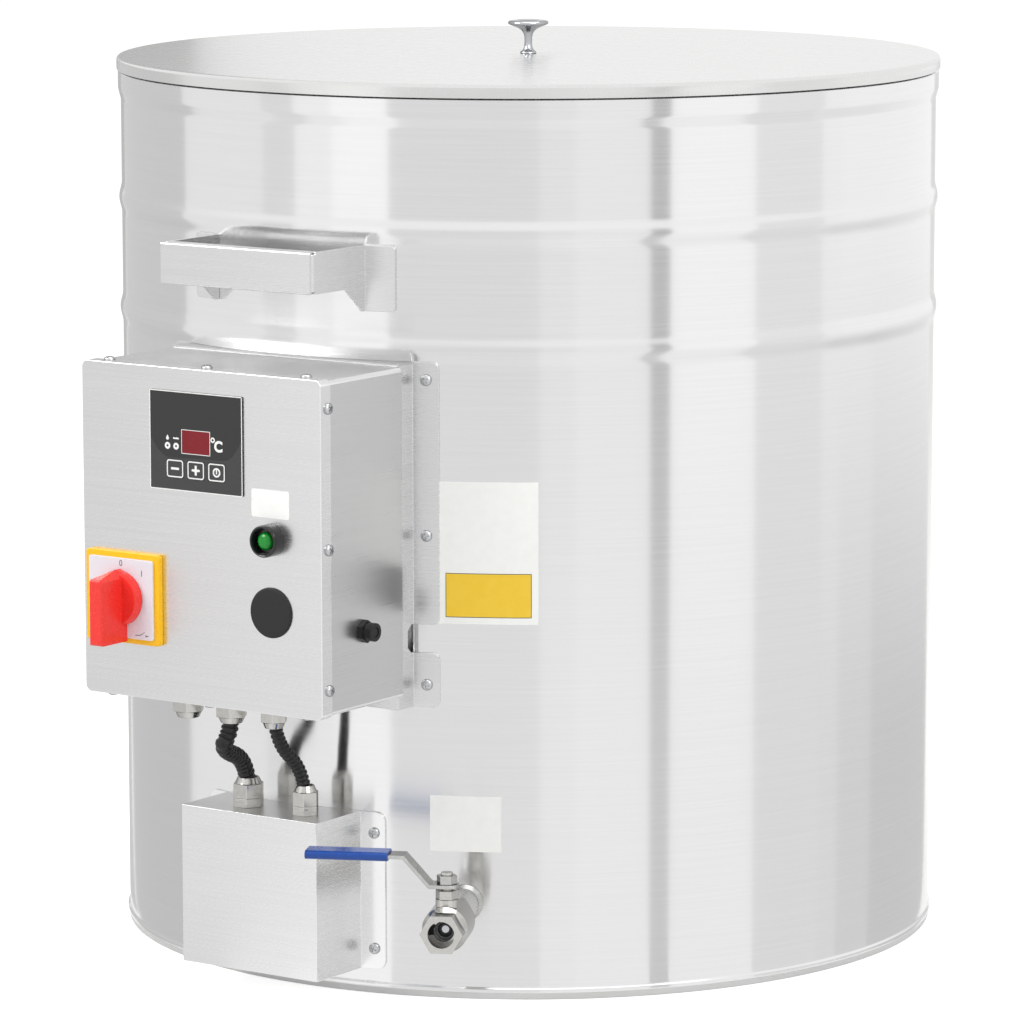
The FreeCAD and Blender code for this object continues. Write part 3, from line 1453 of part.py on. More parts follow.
def drain_valve():
    chamber = S.ball_radius + S.ball_room
    seat_out = seat_offset() + S.seat_width
    shoulder = stem_reach + seat_out
    cap_end = stem_reach - seat_out
    pipe_end = inlet_reach + S.pipe_grip
    body_start = inlet_reach + S.end_cap_hex

    pipe = Piece("drain_pipe")
    pipe.spin([[
        (S.bore_radius, S.shell_radius - 8),
        (S.pipe_radius, S.shell_radius - 8),
        (S.pipe_radius, S.shell_radius + 0.5),
        (S.pipe_radius + 2.5, S.shell_radius + 0.5),
        (S.pipe_radius, S.shell_radius + 4),
        (S.pipe_radius, pipe_end),
        (S.bore_radius, pipe_end),
    ]])
    place_on_valve(pipe)

    end_cap = Piece("valve_end_cap")
    end_cap.pad("XY", inlet_reach, S.end_cap_hex, [hexagon(as_size(0), as_size(0), S.valve_hex)])
    end_cap.pad("XY", body_start, cap_end - body_start, [circle(0, 0, chamber)])
    end_cap.groove([[
        (0, inlet_reach - 1),
        (S.pipe_radius + S.fit_gap, inlet_reach - 1),
        (S.pipe_radius + S.fit_gap, pipe_end),
        (S.bore_radius, pipe_end),
        (S.bore_radius, cap_end + 1),
        (0, cap_end + 1),
    ]])
    place_on_valve(end_cap)

    body = Piece("valve_body")
    outlet_start = outlet_reach - S.outlet_depth
    body.spin([[
        (0, body_start),
        (S.valve_belly - 1.5, body_start),
        (S.valve_belly, body_start + 2),
        (S.valve_belly, stem_reach + S.neck_radius + 1.5),
        (S.valve_hex / 2 - 0.4, outlet_start),
        (0, outlet_start),
    ]])
    body.pad("XY", outlet_start, S.outlet_depth, [hexagon(as_size(0), as_size(0), S.valve_hex)])
    body.pad("XZ", -S.neck_height, S.neck_height, [circle(0, stem_reach, S.neck_radius)])
    body.groove([[
        (0, body_start - 1),
        (chamber + S.fit_gap, body_start - 1),
        (chamber + S.fit_gap, shoulder),
        (S.bore_radius, shoulder),
        (S.bore_radius, outlet_start),
        (S.outlet_thread, outlet_start),
        (S.outlet_thread, outlet_reach + 1),
        (0, outlet_reach + 1),
    ]])
    body.cut("XZ", -S.neck_height - 1, S.neck_height + 1, [
        circle(0, stem_reach, S.stem_radius + S.running_gap),
    ])
    place_on_valve(body)

    valve_seats(chamber)

    packing = Piece("valve_gland_nut")
    packing.pad("XY", 0, S.packing_height, [
        hexagon(as_size(0), as_size(0), S.packing_hex),
        circle(0, 0, S.stem_radius + S.running_gap),
    ])
    place_on_stem(packing, S.neck_height)


def seat_offset():
    """Distance from the ball's middle to the inner edge of a seat, at the seat's outer radius."""
    reach = S.ball_radius * 0.88
    return root(S.ball_radius * S.ball_radius - reach * reach)


def valve_seats(chamber):
    """Two rings, each with a cone that meets the ball on one circle, a running gap off it."""
    ring_piece = Piece("seat_ring", exported=False)
    hollow = S.ball_radius + S.running_gap
    reach = S.ball_radius * 0.88
    lean = (S.bore_radius + reach) / (hollow * 2)
    square = root(1 - lean * lean)
    near = (hollow - reach * lean) / square
    far = (hollow - S.bore_radius * lean) / square
    back = seat_offset() + S.seat_width
    ring_piece.spin([[
        (S.bore_radius, far),
        (S.bore_radius, back),
        (chamber, back),
        (chamber, near),
        (reach, near),
    ]])
    outward = turned_by(S.valve_angle.value).multVec(FreeCAD.Vector(0, -1, 0))
    spot = outward * stem_reach.value + FreeCAD.Vector(0, 0, S.valve_z.value)
    facing = valve_rotation()
    back_to_back = facing.multiply(FreeCAD.Rotation(FreeCAD.Vector(1, 0, 0), 180))
    copies("valve_seats", [
        (ring_piece, FreeCAD.Placement(spot, facing)),
        (ring_piece, FreeCAD.Placement(spot, back_to_back)),
    ])


def place_on_stem(piece, rise):
    """Stand a piece on the valve's stem, its -Y side facing the outlet."""
    x = stem_reach * sine(S.valve_angle)
    y = -(stem_reach * cosine(S.valve_angle))
    put(piece.body if isinstance(piece, Piece) else piece, x, y, S.valve_z + rise, turned_by(S.valve_angle.value))


def valve_lever():
    lever = Piece("valve_lever")
    sheet = S.lever_sheet
    half = S.lever_width / 2
    lever.pad("XZ", -half, S.lever_width, [[
        (half, 0),
        (half, sheet),
        (1 - S.lever_bend_in, sheet),
        (1 - S.lever_bend_out, S.lever_step + sheet),
        (-S.lever_length, S.lever_step + sheet),
        (-S.lever_length, S.lever_step),
        (-S.lever_bend_out, S.lever_step),
        (-S.lever_bend_in, 0),
    ]])
    lever.cut("XY", -1, sheet + 2, [circle(0, 0, S.stem_radius + 0.02)])
    ends = (S.lever_length.value, half.value)
    lever.soften("Fillet", half - 1.5, lambda edge: (
        edge.BoundBox.ZLength > sheet.value - 0.1 and edge.BoundBox.XLength < 0.01
        and edge.BoundBox.YLength < 0.01
        and min(abs(abs(edge.BoundBox.XMin) - end) for end in ends) < 0.01))
    place_on_stem(lever, S.lever_rise)

    sleeve = Piece("lever_sleeve")
    wall = S.sleeve_wall
    length = S.lever_length + wall * 1.5 - S.sleeve_start
    outer_width = S.lever_width + wall * 2
    outer_height = sheet + wall * 2
    sleeve.pad("YZ", -(S.lever_length + wall * 1.5), length, [
        rectangle(as_size(0), S.lever_step + sheet / 2, outer_width, outer_height, outer_height / 2 - 0.1),
    ])
    inside = S.fit_gap * 2
    sleeve.cut("YZ", -S.lever_length - S.fit_gap, length, [
        rectangle(as_size(0), S.lever_step + sheet / 2, S.lever_width + inside, sheet + inside),
    ])
    place_on_stem(sleeve, S.lever_rise)

    nut = Piece("lever_nut")
    nut.pad("XY", 0, S.lever_nut_height, [
        hexagon(as_size(0), as_size(0), S.lever_nut_hex),
        circle(0, 0, S.stem_radius + 0.02),
    ])
    place_on_stem(nut, S.lever_rise + sheet)

    foot = S.ball_radius - S.slot_depth
    stem = Piece("valve_stem")
    stem.pad("XY", foot + 0.1, S.stem_height - foot - 0.1, [circle(0, 0, S.stem_radius)])
    for side in (-1, 1):
        middle = (S.slot_width / 2 - S.running_gap + S.stem_radius) * side
        stem.cut("XY", foot, S.slot_depth + S.ball_room, [
            rectangle(as_size(0), middle, S.stem_radius * 3, S.stem_radius * 2),
        ])
    place_on_stem(stem, as_size(0))

    ball_with_slot()


def ball_with_slot():
    """The ball stands closed: its bore lies across the pipe. A slot on top takes the stem's tongue."""
    sphere = doc.addObject("Part::Sphere", "ball_sphere")
    bind(sphere, "Radius", S.ball_radius)
    bore = doc.addObject("Part::Cylinder", "ball_bore")
    bind(bore, "Radius", S.bore_radius)
    bind(bore, "Height", S.ball_radius * 2 + 2)
    bore.Placement.Rotation = FACING_RIGHT
    bore.setExpression("Placement.Base.x", (-S.ball_radius - 1).formula)
    slot = doc.addObject("Part::Box", "ball_slot")
    bind(slot, "Length", S.ball_radius * 2)
    bind(slot, "Width", S.slot_width)
    bind(slot, "Height", S.slot_depth + 1)
    slot.setExpression("Placement.Base.y", (-S.slot_width / 2).formula)
    slot.setExpression("Placement.Base.x", (-S.ball_radius).formula)
    slot.setExpression("Placement.Base.z", (S.ball_radius - S.slot_depth).formula)
    tools = doc.addObject("Part::MultiFuse", "ball_cutters")
    tools.Shapes = [bore, slot]
    ball = doc.addObject("Part::Cut", "valve_ball")
    ball.Label = "valve_ball"
    ball.Base = sphere
    ball.Tool = tools
    NODES.append(ball)
    place_on_stem(ball, as_size(0))


def build():
    outer_shell()
    base_pan()
    inner_vessel()
    top_deck()
    filler_plug()
    lid()
    handle("front", turned_by(0))
    handle("back", turned_by(180))
    box_bracket()
    box_body()
    box_cover()
    screws()
    controller()
    lamp()
    blanking_plug()
    main_switch()
    reset_control()
    box_contents()
    glands()
    hoses()
    heater_box()
    heater()
    drain_valve()
    valve_lever()
    doc.recompute()


def check():
    """Stop before writing anything if a feature failed or a solid is not sound."""
    for thing in doc.Objects:
        if "Invalid" in thing.State or "Error" in thing.State:
            raise RuntimeError("%s failed: %s" % (thing.Name, thing.State))
    for node in NODES:
        shape = node.Shape
        if shape.isNull() or not shape.isValid() or not shape.Solids:
            raise RuntimeError("%s has no sound solid" % node.Label)


def write():
    os.makedirs("parts", exist_ok=True)
    for node in NODES:
        node.Shape.exportStep("parts/%s.step" % node.Label)
    print("%d parts written" % len(NODES))


build()
check()
write()
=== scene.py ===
import bpy
import json
import math
from mathutils import Matrix, Vector

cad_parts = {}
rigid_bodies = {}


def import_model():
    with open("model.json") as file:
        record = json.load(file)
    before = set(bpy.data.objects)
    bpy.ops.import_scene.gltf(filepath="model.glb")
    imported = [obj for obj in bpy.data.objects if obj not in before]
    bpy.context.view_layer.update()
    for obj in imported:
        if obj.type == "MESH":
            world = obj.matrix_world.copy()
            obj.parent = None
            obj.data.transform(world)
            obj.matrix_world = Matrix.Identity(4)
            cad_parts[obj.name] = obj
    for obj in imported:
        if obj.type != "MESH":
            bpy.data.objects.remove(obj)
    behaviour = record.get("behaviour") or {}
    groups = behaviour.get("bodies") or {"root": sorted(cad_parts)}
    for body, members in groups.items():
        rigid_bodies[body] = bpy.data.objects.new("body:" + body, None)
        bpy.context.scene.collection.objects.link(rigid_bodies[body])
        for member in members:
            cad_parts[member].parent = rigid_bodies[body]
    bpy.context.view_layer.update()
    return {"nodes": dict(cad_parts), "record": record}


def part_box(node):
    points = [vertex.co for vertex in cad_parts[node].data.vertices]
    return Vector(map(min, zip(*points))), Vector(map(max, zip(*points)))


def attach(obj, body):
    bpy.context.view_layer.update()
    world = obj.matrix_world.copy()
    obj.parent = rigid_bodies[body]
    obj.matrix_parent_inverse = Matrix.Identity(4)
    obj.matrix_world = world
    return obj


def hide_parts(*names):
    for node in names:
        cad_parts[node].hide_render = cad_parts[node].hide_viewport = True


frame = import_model()
MM = 0.001
BODY = {node: body for body, nodes in frame["record"]["behaviour"]["bodies"].items() for node in nodes}
SLOT = {part["node"]: part["material_slot"] for part in frame["record"]["subparts"]}

# Tank, in mm. Outlines of its rims are (out from a radius, up from a height)
SHELL_RADIUS = 300.0
SHEET = 1.2
THIN_SHEET = 1.0
HEM = ((1.4, 5.0), (1.5, 5.3), (1.5, 7.0), (1.2, 7.5), (0.2, 8.4), (0.0, 8.9), (0.0, 10.5))
WALL_HEIGHTS = (120.0, 240.0, 360.0)
BEAD_HEIGHTS = (458.0, 539.0)
BEAD_OUT = 2.0
BEAD_HALF = 11.5
BEAD_MARGIN = 1.5
BEAD_STEPS = 14
COLLAR_TOP = 632.0
COLLAR = ((0.0, -22.5), (0.0, -21.0), (0.3, -19.6), (1.7, -14.2), (2.0, -12.8), (2.0, -11.0), (2.0, -1.5),
          (2.0, -0.6), (1.5, 0.0), (0.2, 0.0), (-0.4, 0.4), (-0.5, 2.0), (-0.5, 9.0))
PAN_RIM = ((-3.0, 0.0), (-0.4, 0.0), (0.3, 0.3), (0.5, 1.0), (0.5, 5.0), (-1.5, 5.0), (-1.5, 1.0))
VESSEL_RADIUS = 250.0
VESSEL_UNDERSIDE = 110.8
VESSEL_BEND = 20.0
BEND_ANGLES = (0.0, 0.4, 0.8, 1.2, math.pi / 2)
VESSEL_RIM = ((0.0, -3.0), (0.4, -0.6), (1.0, 0.0), (16.2, 0.0), (16.2, -1.2), (1.2, -1.2))
LID_RADIUS = 303.0
LID_TOP = 642.0
LID_MIDWAY = 150.0
LID_RIM = ((-7.0, 0.0), (-2.4, 0.0), (-1.1, -0.3), (-0.3, -1.1), (0.0, -2.3), (0.0, -8.7), (-0.2, -9.2),
           (-0.6, -9.3), (-1.0, -9.0), (-1.0, -1.8), (-1.4, -1.0))
KNOB = ((0, 0), (5.6, 0), (6, 0.3), (6, 1.1), (5.7, 1.5), (4.4, 2.4), (3.4, 3.9), (2.9, 6), (2.75, 9),
        (2.9, 12.2), (3.5, 14.6), (4.9, 16.8), (7.3, 18.5), (10.6, 19.9), (13.6, 21.1), (14.7, 21.8),
        (15, 22.6), (14.8, 23.4), (14, 24.1), (12, 24.5), (9, 24.6), (8.2, 24.7), (7.6, 25), (0, 25))
ROUND_STEPS = 288
PLAIN_STEPS = 192

# Labels on the tank, in degrees and mm
LABEL_FILM = 0.1
LABEL_INK = 0.03
LABEL_GLUE = 0.02
LABEL_STEPS = 24

# Control box, in mm: places on its front are (x, z), and its faces stand at y
BOX_FRONT = -399.0
BOX_MIDDLE_HEIGHT = 332.5
SWITCH_FACE = -406.0
OVERLAY_FACE = -400.2
KEY_FACE = -400.5
CONTROLLER = (-2.7, 399.0)
KEY_HEIGHT = 379.7
KEYS = {"key_minus": -20.7, "key_plus": -2.7, "key_power": 15.3}
LAMP = (60.5, 337.0)
PLUG = (60.5, 286.6)
LAMP_LABEL = (60.0, 361.7)
INK = 0.04
FOIL_PRINT = 0.03
INK_LIFT = 0.03
STROKE_LIFT = 0.01
KEY_LINE_LIFT = 0.02
FRAME_LIFT = 0.04
LIP_HEIGHT = 449.8
LIP_HALF = 99
LIP_STEP = 9
LIP_FOOT = -303.4
LIP_RADIUS = 300.6

# Screw heads, as shares of their radius and height
HEAD = ((0, 0), (1, 0), (1, 0.35), (0.93, 0.62), (0.76, 0.85), (0.48, 0.97), (0, 1))
HEAD_STEPS = 32
RECESS = (1.15, 0.24, 1.1)
RECESS_EDGE = 0.05
FIRST_TWIST, NEXT_TWIST = 0.5, 1.9

# Drain valve: the way it points, in degrees from the box's side, and its bore in mm
VALVE_AZIMUTH = 25.8
BORE_RADIUS = 9.9
BALL_REACH = 2.0

# Conduits, in mm: the line each one follows, its crest's radius, and its ribs.
# One rib is (share of the pitch, how far below the crest).
HEATER_ROUTE = ((-9.3, -354.0, 210.3), (-9.3, -354.0, 189.8), (-16.3, -359.0, 176.6),
                (-17.5, -324.5, 163.4), (-17.5, -324.5, 137.0))
PROBE_ROUTE = ((27.7, -354.0, 210.3), (27.7, -354.0, 186.1), (33.6, -326.0, 161.2), (33.6, -326.0, 137.0))
HEATER_CREST = 6.2
PROBE_CREST = 4.9
RIBS = 22
RIB_DEPTH = 0.9
RIB = ((0.16, RIB_DEPTH), (0.30, 0.25), (0.42, 0.0), (0.66, 0.0), (0.78, 0.25), (0.92, RIB_DEPTH))
ROUTE_STEPS = 32
CONDUIT_STEPS = 28

# Camera, lens and standing place as the photograph was taken, in degrees, mm and metres
CAMERA_AZIMUTH = 34.4
CAMERA_PITCH, CAMERA_YAW, CAMERA_ROLL = 8.812, -0.1724, -0.0747
CAMERA_DISTANCE, CAMERA_HEIGHT = 4.13105, 0.94024
SENSOR_WIDTH, LENS = 36, 196.875


def set_camera():
    azimuth = math.radians(CAMERA_AZIMUTH)
    pitch, yaw, roll = (math.radians(angle) for angle in (CAMERA_PITCH, CAMERA_YAW, CAMERA_ROLL))
    right = Vector((math.cos(azimuth), math.sin(azimuth), 0))
    level = Vector((-math.sin(azimuth), math.cos(azimuth), 0))
    upright = Vector((0, 0, 1))
    forward = math.cos(pitch) * (math.sin(yaw) * right + math.cos(yaw) * level) - math.sin(pitch) * upright
    side = forward.cross(upright).normalized()
    top = side.cross(forward)
    tilted = math.cos(roll) * side + math.sin(roll) * top
    top = math.cos(roll) * top - math.sin(roll) * side
    data = bpy.data.cameras.new("photo_camera")
    data.sensor_width = SENSOR_WIDTH
    data.lens = LENS
    data.clip_end = 50
    camera = bpy.data.objects.new("photo_camera", data)
    bpy.context.scene.collection.objects.link(camera)
    turn = Matrix((tilted, top, -forward)).transposed().to_4x4()
    camera.matrix_world = Matrix.Translation(-level * CAMERA_DISTANCE + upright * CAMERA_HEIGHT) @ turn
    bpy.context.scene.camera = camera


# Working with Blender's own tools
FACING_FRONT = (90, 0, 0)
SPUN_WELD = 0.002
CAD_WELD = 0.003
FLAT_WITHIN = 0.8
EDGE_ANGLE = 30


def pick(*pieces):
    bpy.ops.object.select_all(action="DESELECT")
    for piece in pieces:
        piece.select_set(True)
    bpy.context.view_layer.objects.active = pieces[-1]


def settle(piece, location=(0, 0, 0), turn=(0, 0, 0)):
    """Moves a piece modelled at the origin to its place in mm, turns it, and applies both to its mesh."""
    piece.location = Vector(location) * MM
    piece.rotation_euler = [math.radians(angle) for angle in turn]
    pick(piece)
    bpy.ops.object.transform_apply(location=True, rotation=True, scale=True)
    return piece


def apply_modifier(piece, kind, **settings):
    modifier = piece.modifiers.new(kind.title(), kind)
    for name, value in settings.items():
        setattr(modifier, name, value)
    pick(piece)
    bpy.ops.object.modifier_apply(modifier=modifier.name)


def smooth(piece, angle=35):
    pick(piece)
    bpy.ops.object.shade_smooth_by_angle(angle=math.radians(angle))
    apply_modifier(piece, "WEIGHTED_NORMAL", keep_sharp=True, weight=60)


def line(name, points):
    """One vertex, extruded from point to point in mm; the new object is left in edit mode, all selected."""
    bpy.ops.object.select_all(action="DESELECT")
    bpy.ops.mesh.primitive_plane_add(size=MM)
    piece = bpy.context.object
    piece.name = piece.data.name = name
    bpy.ops.object.mode_set(mode="EDIT")
    bpy.ops.mesh.select_mode(type="VERT")
    bpy.ops.mesh.select_all(action="SELECT")
    bpy.ops.mesh.merge(type="CENTER")
    points = [Vector(point) * MM for point in points]
    bpy.ops.transform.translate(value=points[0])
    for start, end in zip(points, points[1:]):
        bpy.ops.mesh.extrude_region_move(TRANSFORM_OT_translate={"value": end - start})
    bpy.ops.mesh.select_all(action="SELECT")
    return piece


def spun(name, outline, steps=96, angle=360.0, start=0.0):
    """Spins an outline of (radius, height) in mm round the upright axis, from the start angle on."""
    first = math.radians(start)
    piece = line(name, [(r * math.sin(first), -r * math.cos(first), z) for r, z in outline])
    bpy.ops.mesh.spin(steps=steps, angle=-math.radians(angle), center=(0, 0, 0), axis=(0, 0, 1))
    bpy.ops.mesh.select_all(action="SELECT")
    bpy.ops.mesh.remove_doubles(threshold=SPUN_WELD * MM)
    bpy.ops.mesh.normals_make_consistent(inside=False)
    bpy.ops.object.mode_set(mode="OBJECT")
    return piece


def face_up(piece):
    """Closes the line that is being edited to one face that looks up, and leaves edit mode."""
    bpy.ops.mesh.edge_face_add()
    bpy.ops.object.mode_set(mode="OBJECT")
    if piece.data.polygons[0].normal.z < 0:
        bpy.ops.object.mode_set(mode="EDIT")
        bpy.ops.mesh.flip_normals()
        bpy.ops.object.mode_set(mode="OBJECT")


def plate(name, outline, thickness, location):
    """A thin flat shape from its outline of (across, up) in mm, standing upright and facing the front."""
    piece = line(name, [(x, y, 0) for x, y in outline])
    face_up(piece)
    apply_modifier(piece, "SOLIDIFY", thickness=thickness * MM, offset=1)
    return settle(piece, location, FACING_FRONT)


def rounded(width, height, radius, steps=5):
    """Outline points of a rectangle with round corners, centred."""
    points = []
    for quarter, (sx, sy) in enumerate(((1, 1), (-1, 1), (-1, -1), (1, -1))):
        for step in range(steps + 1):
            angle = math.radians(90 * (quarter + step / steps))
            points.append((sx * (width / 2 - radius) + radius * math.cos(angle),
                           sy * (height / 2 - radius) + radius * math.sin(angle)))
    return points


def rim_line(name, width, height, radius, stroke, location):
    """A printed line round a rectangle with round corners."""
    piece = line(name, [(x, y, 0) for x, y in rounded(width, height, radius)])
    bpy.ops.mesh.edge_face_add()
    bpy.ops.mesh.inset(thickness=stroke * MM, depth=0)
    bpy.ops.mesh.delete(type="FACE")
    bpy.ops.mesh.select_all(action="SELECT")
    bpy.ops.mesh.normals_make_consistent(inside=False)
    bpy.ops.object.mode_set(mode="OBJECT")
    apply_modifier(piece, "SOLIDIFY", thickness=INK * MM, offset=0)
    return settle(piece, location, FACING_FRONT)


def disc(name, radius, location, hole=0.0):
    """A printed dot or ring that faces the front."""
    outline = [(hole, 0), (radius, 0), (radius, INK), (hole, INK)]
    if hole:
        outline.append((hole, 0))
    return settle(spun(name, outline, 32), location, FACING_FRONT)


def lettering(name, words, size, location, bold=0.0):
    """A printed sign, made from Blender's own letter shapes."""
    bpy.ops.object.select_all(action="DESELECT")
    bpy.ops.object.text_add()
    piece = bpy.context.object
    piece.data.body = words
    piece.data.size = size * MM
    piece.data.extrude = INK / 2 * MM
    piece.data.offset = bold * MM
    piece.data.align_x = "CENTER"
    piece.data.align_y = "CENTER"
    bpy.ops.object.convert(target="MESH")
    piece = bpy.context.object
    piece.name = piece.data.name = name
    return settle(piece, location, FACING_FRONT)


def joined(name, pieces):
    if len(pieces) > 1:
        pick(*pieces)
        bpy.ops.object.join()
    piece = pieces[-1]
    piece.name = piece.data.name = name
    return piece


def merged_copy(node, name):
    """A copy of a CAD node with its loose triangles joined and its flat faces made whole."""
    piece = bpy.data.objects.new(name, frame["nodes"][node].data.copy())
    bpy.context.scene.collection.objects.link(piece)
    pick(piece)
    bpy.ops.object.mode_set(mode="EDIT")
    bpy.ops.mesh.select_all(action="SELECT")
    bpy.ops.mesh.remove_doubles(threshold=CAD_WELD * MM)
    bpy.ops.mesh.dissolve_limited(angle_limit=math.radians(FLAT_WITHIN))
    bpy.ops.object.mode_set(mode="OBJECT")
    return piece


def fit_in(piece, node, finish, stands_for=True):
    """Gives a piece its finish and ties it to the CAD node that it shows or sits on."""
    piece.data.materials.clear()
    piece.data.materials.append(finish)
    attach(piece, BODY[node])
    if stands_for:
        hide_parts(node)
    return piece


def edged(node, finish, width, segments=2):
    """A copy of a CAD node with its sharp edges rounded as a fold, a casting or a moulding has them."""
    piece = merged_copy(node, node + "_finished")
    apply_modifier(piece, "BEVEL", width=width * MM, segments=segments, limit_method="ANGLE",
                   angle_limit=math.radians(EDGE_ANGLE), use_clamp_overlap=True)
    smooth(piece)
    return fit_in(piece, node, finish)


# Finishes
MIX_SHARE, MIX_FIRST, MIX_SECOND, MIX_COLOUR = 0, 6, 7, 2
# Painted reflection: the dark that bright metals' colour is mixed toward where they turn from the eye, and
# how far in it reaches
PAINTED_RIM_DARK = "0C0C0E"
PAINTED_RIM_BLEND = 0.35
GRAIN_DETAIL, GRAIN_ROUGHNESS = 3.0, 0.6
GRAIN_LOW, GRAIN_HIGH = 0.3, 0.7
RELIEF_STRENGTH = 0.6


def linear(code):
    """An sRGB hex value as the linear colour a shader takes."""
    parts = [int(code[i:i + 2], 16) / 255 for i in (0, 2, 4)]
    return [p / 12.92 if p <= 0.04045 else ((p + 0.055) / 1.055) ** 2.4 for p in parts] + [1.0]


def add(tree, kind, fields=None, links=None, **settings):
    """Adds one node with its settings, its sockets' values and the links that come in."""
    node = tree.nodes.new(kind)
    for name, value in settings.items():
        setattr(node, name, value)
    for name, value in (fields or {}).items():
        node.inputs[name].default_value = value
    for name, (source, output) in (links or {}).items():
        tree.links.new(source.outputs[output], node.inputs[name])
    return node


def start_finish(name, **fields):
    finish = bpy.data.materials.new(name)
    finish.use_nodes = True
    tree = finish.node_tree
    tree.nodes.clear()
    sockets = {key.replace("_", " "): value for key, value in fields.items()}
    shader = add(tree, "ShaderNodeBsdfPrincipled", sockets)
    add(tree, "ShaderNodeOutputMaterial", links={"Surface": (shader, "BSDF")})
    return finish, tree, shader


def weave_in(tree, shader, noise, dark, light, rough, relief):
    """One noise sets where the colour is dark or light, how rough it is, and how high (relief, in mm)."""
    tones = {MIX_FIRST: linear(dark), MIX_SECOND: linear(light)}
    tone = add(tree, "ShaderNodeMix", tones, {MIX_SHARE: (noise, "Fac")}, data_type="RGBA")
    tree.links.new(tone.outputs[MIX_COLOUR], shader.inputs["Base Color"])
    smoothest, roughest = rough
    limits = {"From Min": GRAIN_LOW, "From Max": GRAIN_HIGH, "To Min": smoothest, "To Max": roughest}
    spread = add(tree, "ShaderNodeMapRange", limits, {"Value": (noise, "Fac")})
    tree.links.new(spread.outputs["Result"], shader.inputs["Roughness"])
    depth = {"Strength": RELIEF_STRENGTH, "Distance": relief * MM}
    bump = add(tree, "ShaderNodeBump", depth, {"Height": (noise, "Fac")})
    tree.links.new(bump.outputs["Normal"], shader.inputs["Normal"])


def start_grain(name, dark, light, rough, relief, scale, stretch=(1, 1, 1), **fields):
    """A finish whose grain is a noise in the piece's own coordinates; scale counts features in a metre."""
    finish, tree, shader = start_finish(name, **fields)
    place = add(tree, "ShaderNodeTexCoord")
    mapped = add(tree, "ShaderNodeMapping", {"Scale": stretch}, {"Vector": (place, "Object")})
    grain = {"Scale": scale, "Detail": GRAIN_DETAIL, "Roughness": GRAIN_ROUGHNESS}
    noise = add(tree, "ShaderNodeTexNoise", grain, {"Vector": (mapped, "Vector")})
    weave_in(tree, shader, noise, dark, light, rough, relief)
    return finish, tree, shader


def grained(*looks, **fields):
    """A finish with an even or a stretched grain and nothing more."""
    finish, _, _ = start_grain(*looks, **fields)
    return finish


def painted_dark_rim(*looks, **fields):
    """A mirror-bright metal with a painted reflection: where it turns from the eye its colour darkens toward
    the dark of the room round the studio.
    """
    finish, tree, shader = start_grain(*looks, **fields)
    turned = add(tree, "ShaderNodeLayerWeight", {"Blend": PAINTED_RIM_BLEND})
    metal = shader.inputs["Base Color"].links[0].from_node
    sources = {MIX_SHARE: (turned, "Facing"), MIX_FIRST: (metal, MIX_COLOUR)}
    mixed = add(tree, "ShaderNodeMix", {MIX_SECOND: linear(PAINTED_RIM_DARK)}, sources, data_type="RGBA")
    tree.links.new(mixed.outputs[MIX_COLOUR], shader.inputs["Base Color"])
    return finish


def brushed(name, dark, light, rough, stretch, axis, turn, strength, relief):
    """Linished stainless sheet: fine parallel scratches, so that lights draw out across them."""
    finish, tree, shader = start_grain(name, dark, light, rough, relief, 1.0, stretch, Metallic=1.0,
                                       Anisotropic=strength, Anisotropic_Rotation=turn)
    tangent = add(tree, "ShaderNodeTangent", direction_type="RADIAL", axis=axis)
    tree.links.new(tangent.outputs["Tangent"], shader.inputs["Tangent"])
    return finish


set_camera()

# AISI 304 sheet, 240 grit linished round the tank. The real scratches are 0.1 mm apart; they are drawn
# about 1.4 mm apart, as coarse as they need to be to show, and run on for about 0.1 m. The quarter turn
# blurs mirrored things up and down, and leaves them sharp from side to side.
tank_steel = brushed("brushed_304_round_the_tank", "E9E9E9", "F0F0F0", (0.15, 0.18), (9, 9, 700),
                     axis="Z", turn=0.25, strength=0.9, relief=0.0007)
# The same sheet laid flat for the lid, its scratches straight across.
lid_steel = brushed("brushed_304_straight", "E4E4E3", "E8E8E7", (0.27, 0.276), (5, 110, 110),
                    axis="X", turn=0.0, strength=0.6, relief=0.00003)
# AISI 304, cold rolled and folded: a satin face with faint level grain, greyer than the linished tank.
folded_steel = brushed("satin_rolled_304", "DCDCDC", "E4E4E4", (0.25, 0.29), (9, 9, 600),
                       axis="Z", turn=0.0, strength=0.3, relief=0.0002)
# The same sheet of the box's body, which stands back and has a duller face than its cover; part of its
# darker colour is painted shade for the box's darker side. On the heater box's top this finish is painted
# shade under the control box.
dull_steel_and_shade = brushed("dull_rolled_304_and_painted_shade", "C8C8C8", "D0D0D0", (0.27, 0.31), (9, 9, 600),
                     axis="Z", turn=0.0, strength=0.3, relief=0.0002)
# A brighter sheet, of the heater box.
heater_steel = brushed("bright_rolled_304", "E6E6E6", "EEEEEE", (0.25, 0.29), (9, 9, 600),
                       axis="Z", turn=0.0, strength=0.3, relief=0.0002)
# Outside of a fold: a painted highlight, a brighter and smoother finish that draws a thin light line along
# each edge.
highlight_fold_steel = brushed("fold_304_painted_highlight", "F0F0F0", "F6F6F6", (0.15, 0.19), (9, 9, 600),
                     axis="Z", turn=0.0, strength=0.3, relief=0.0002)
# Faces that look up: painted shade darkens their colour, and a rougher finish dulls them, so that they
# mirror less of the tank.
shaded_upper_steel = grained("dusty_upper_304", "BEBEBE", "C7C7C7", (0.44, 0.50), 0.0005, 60, Metallic=1.0)
# Deep drawn 304 of the vessel: duller and softer than the outside.
drawn_steel = brushed("drawn_304_vessel", "E6E6E6", "EEEEEE", (0.30, 0.36), (10, 10, 400),
                      axis="Z", turn=0.0, strength=0.4, relief=0.0007)
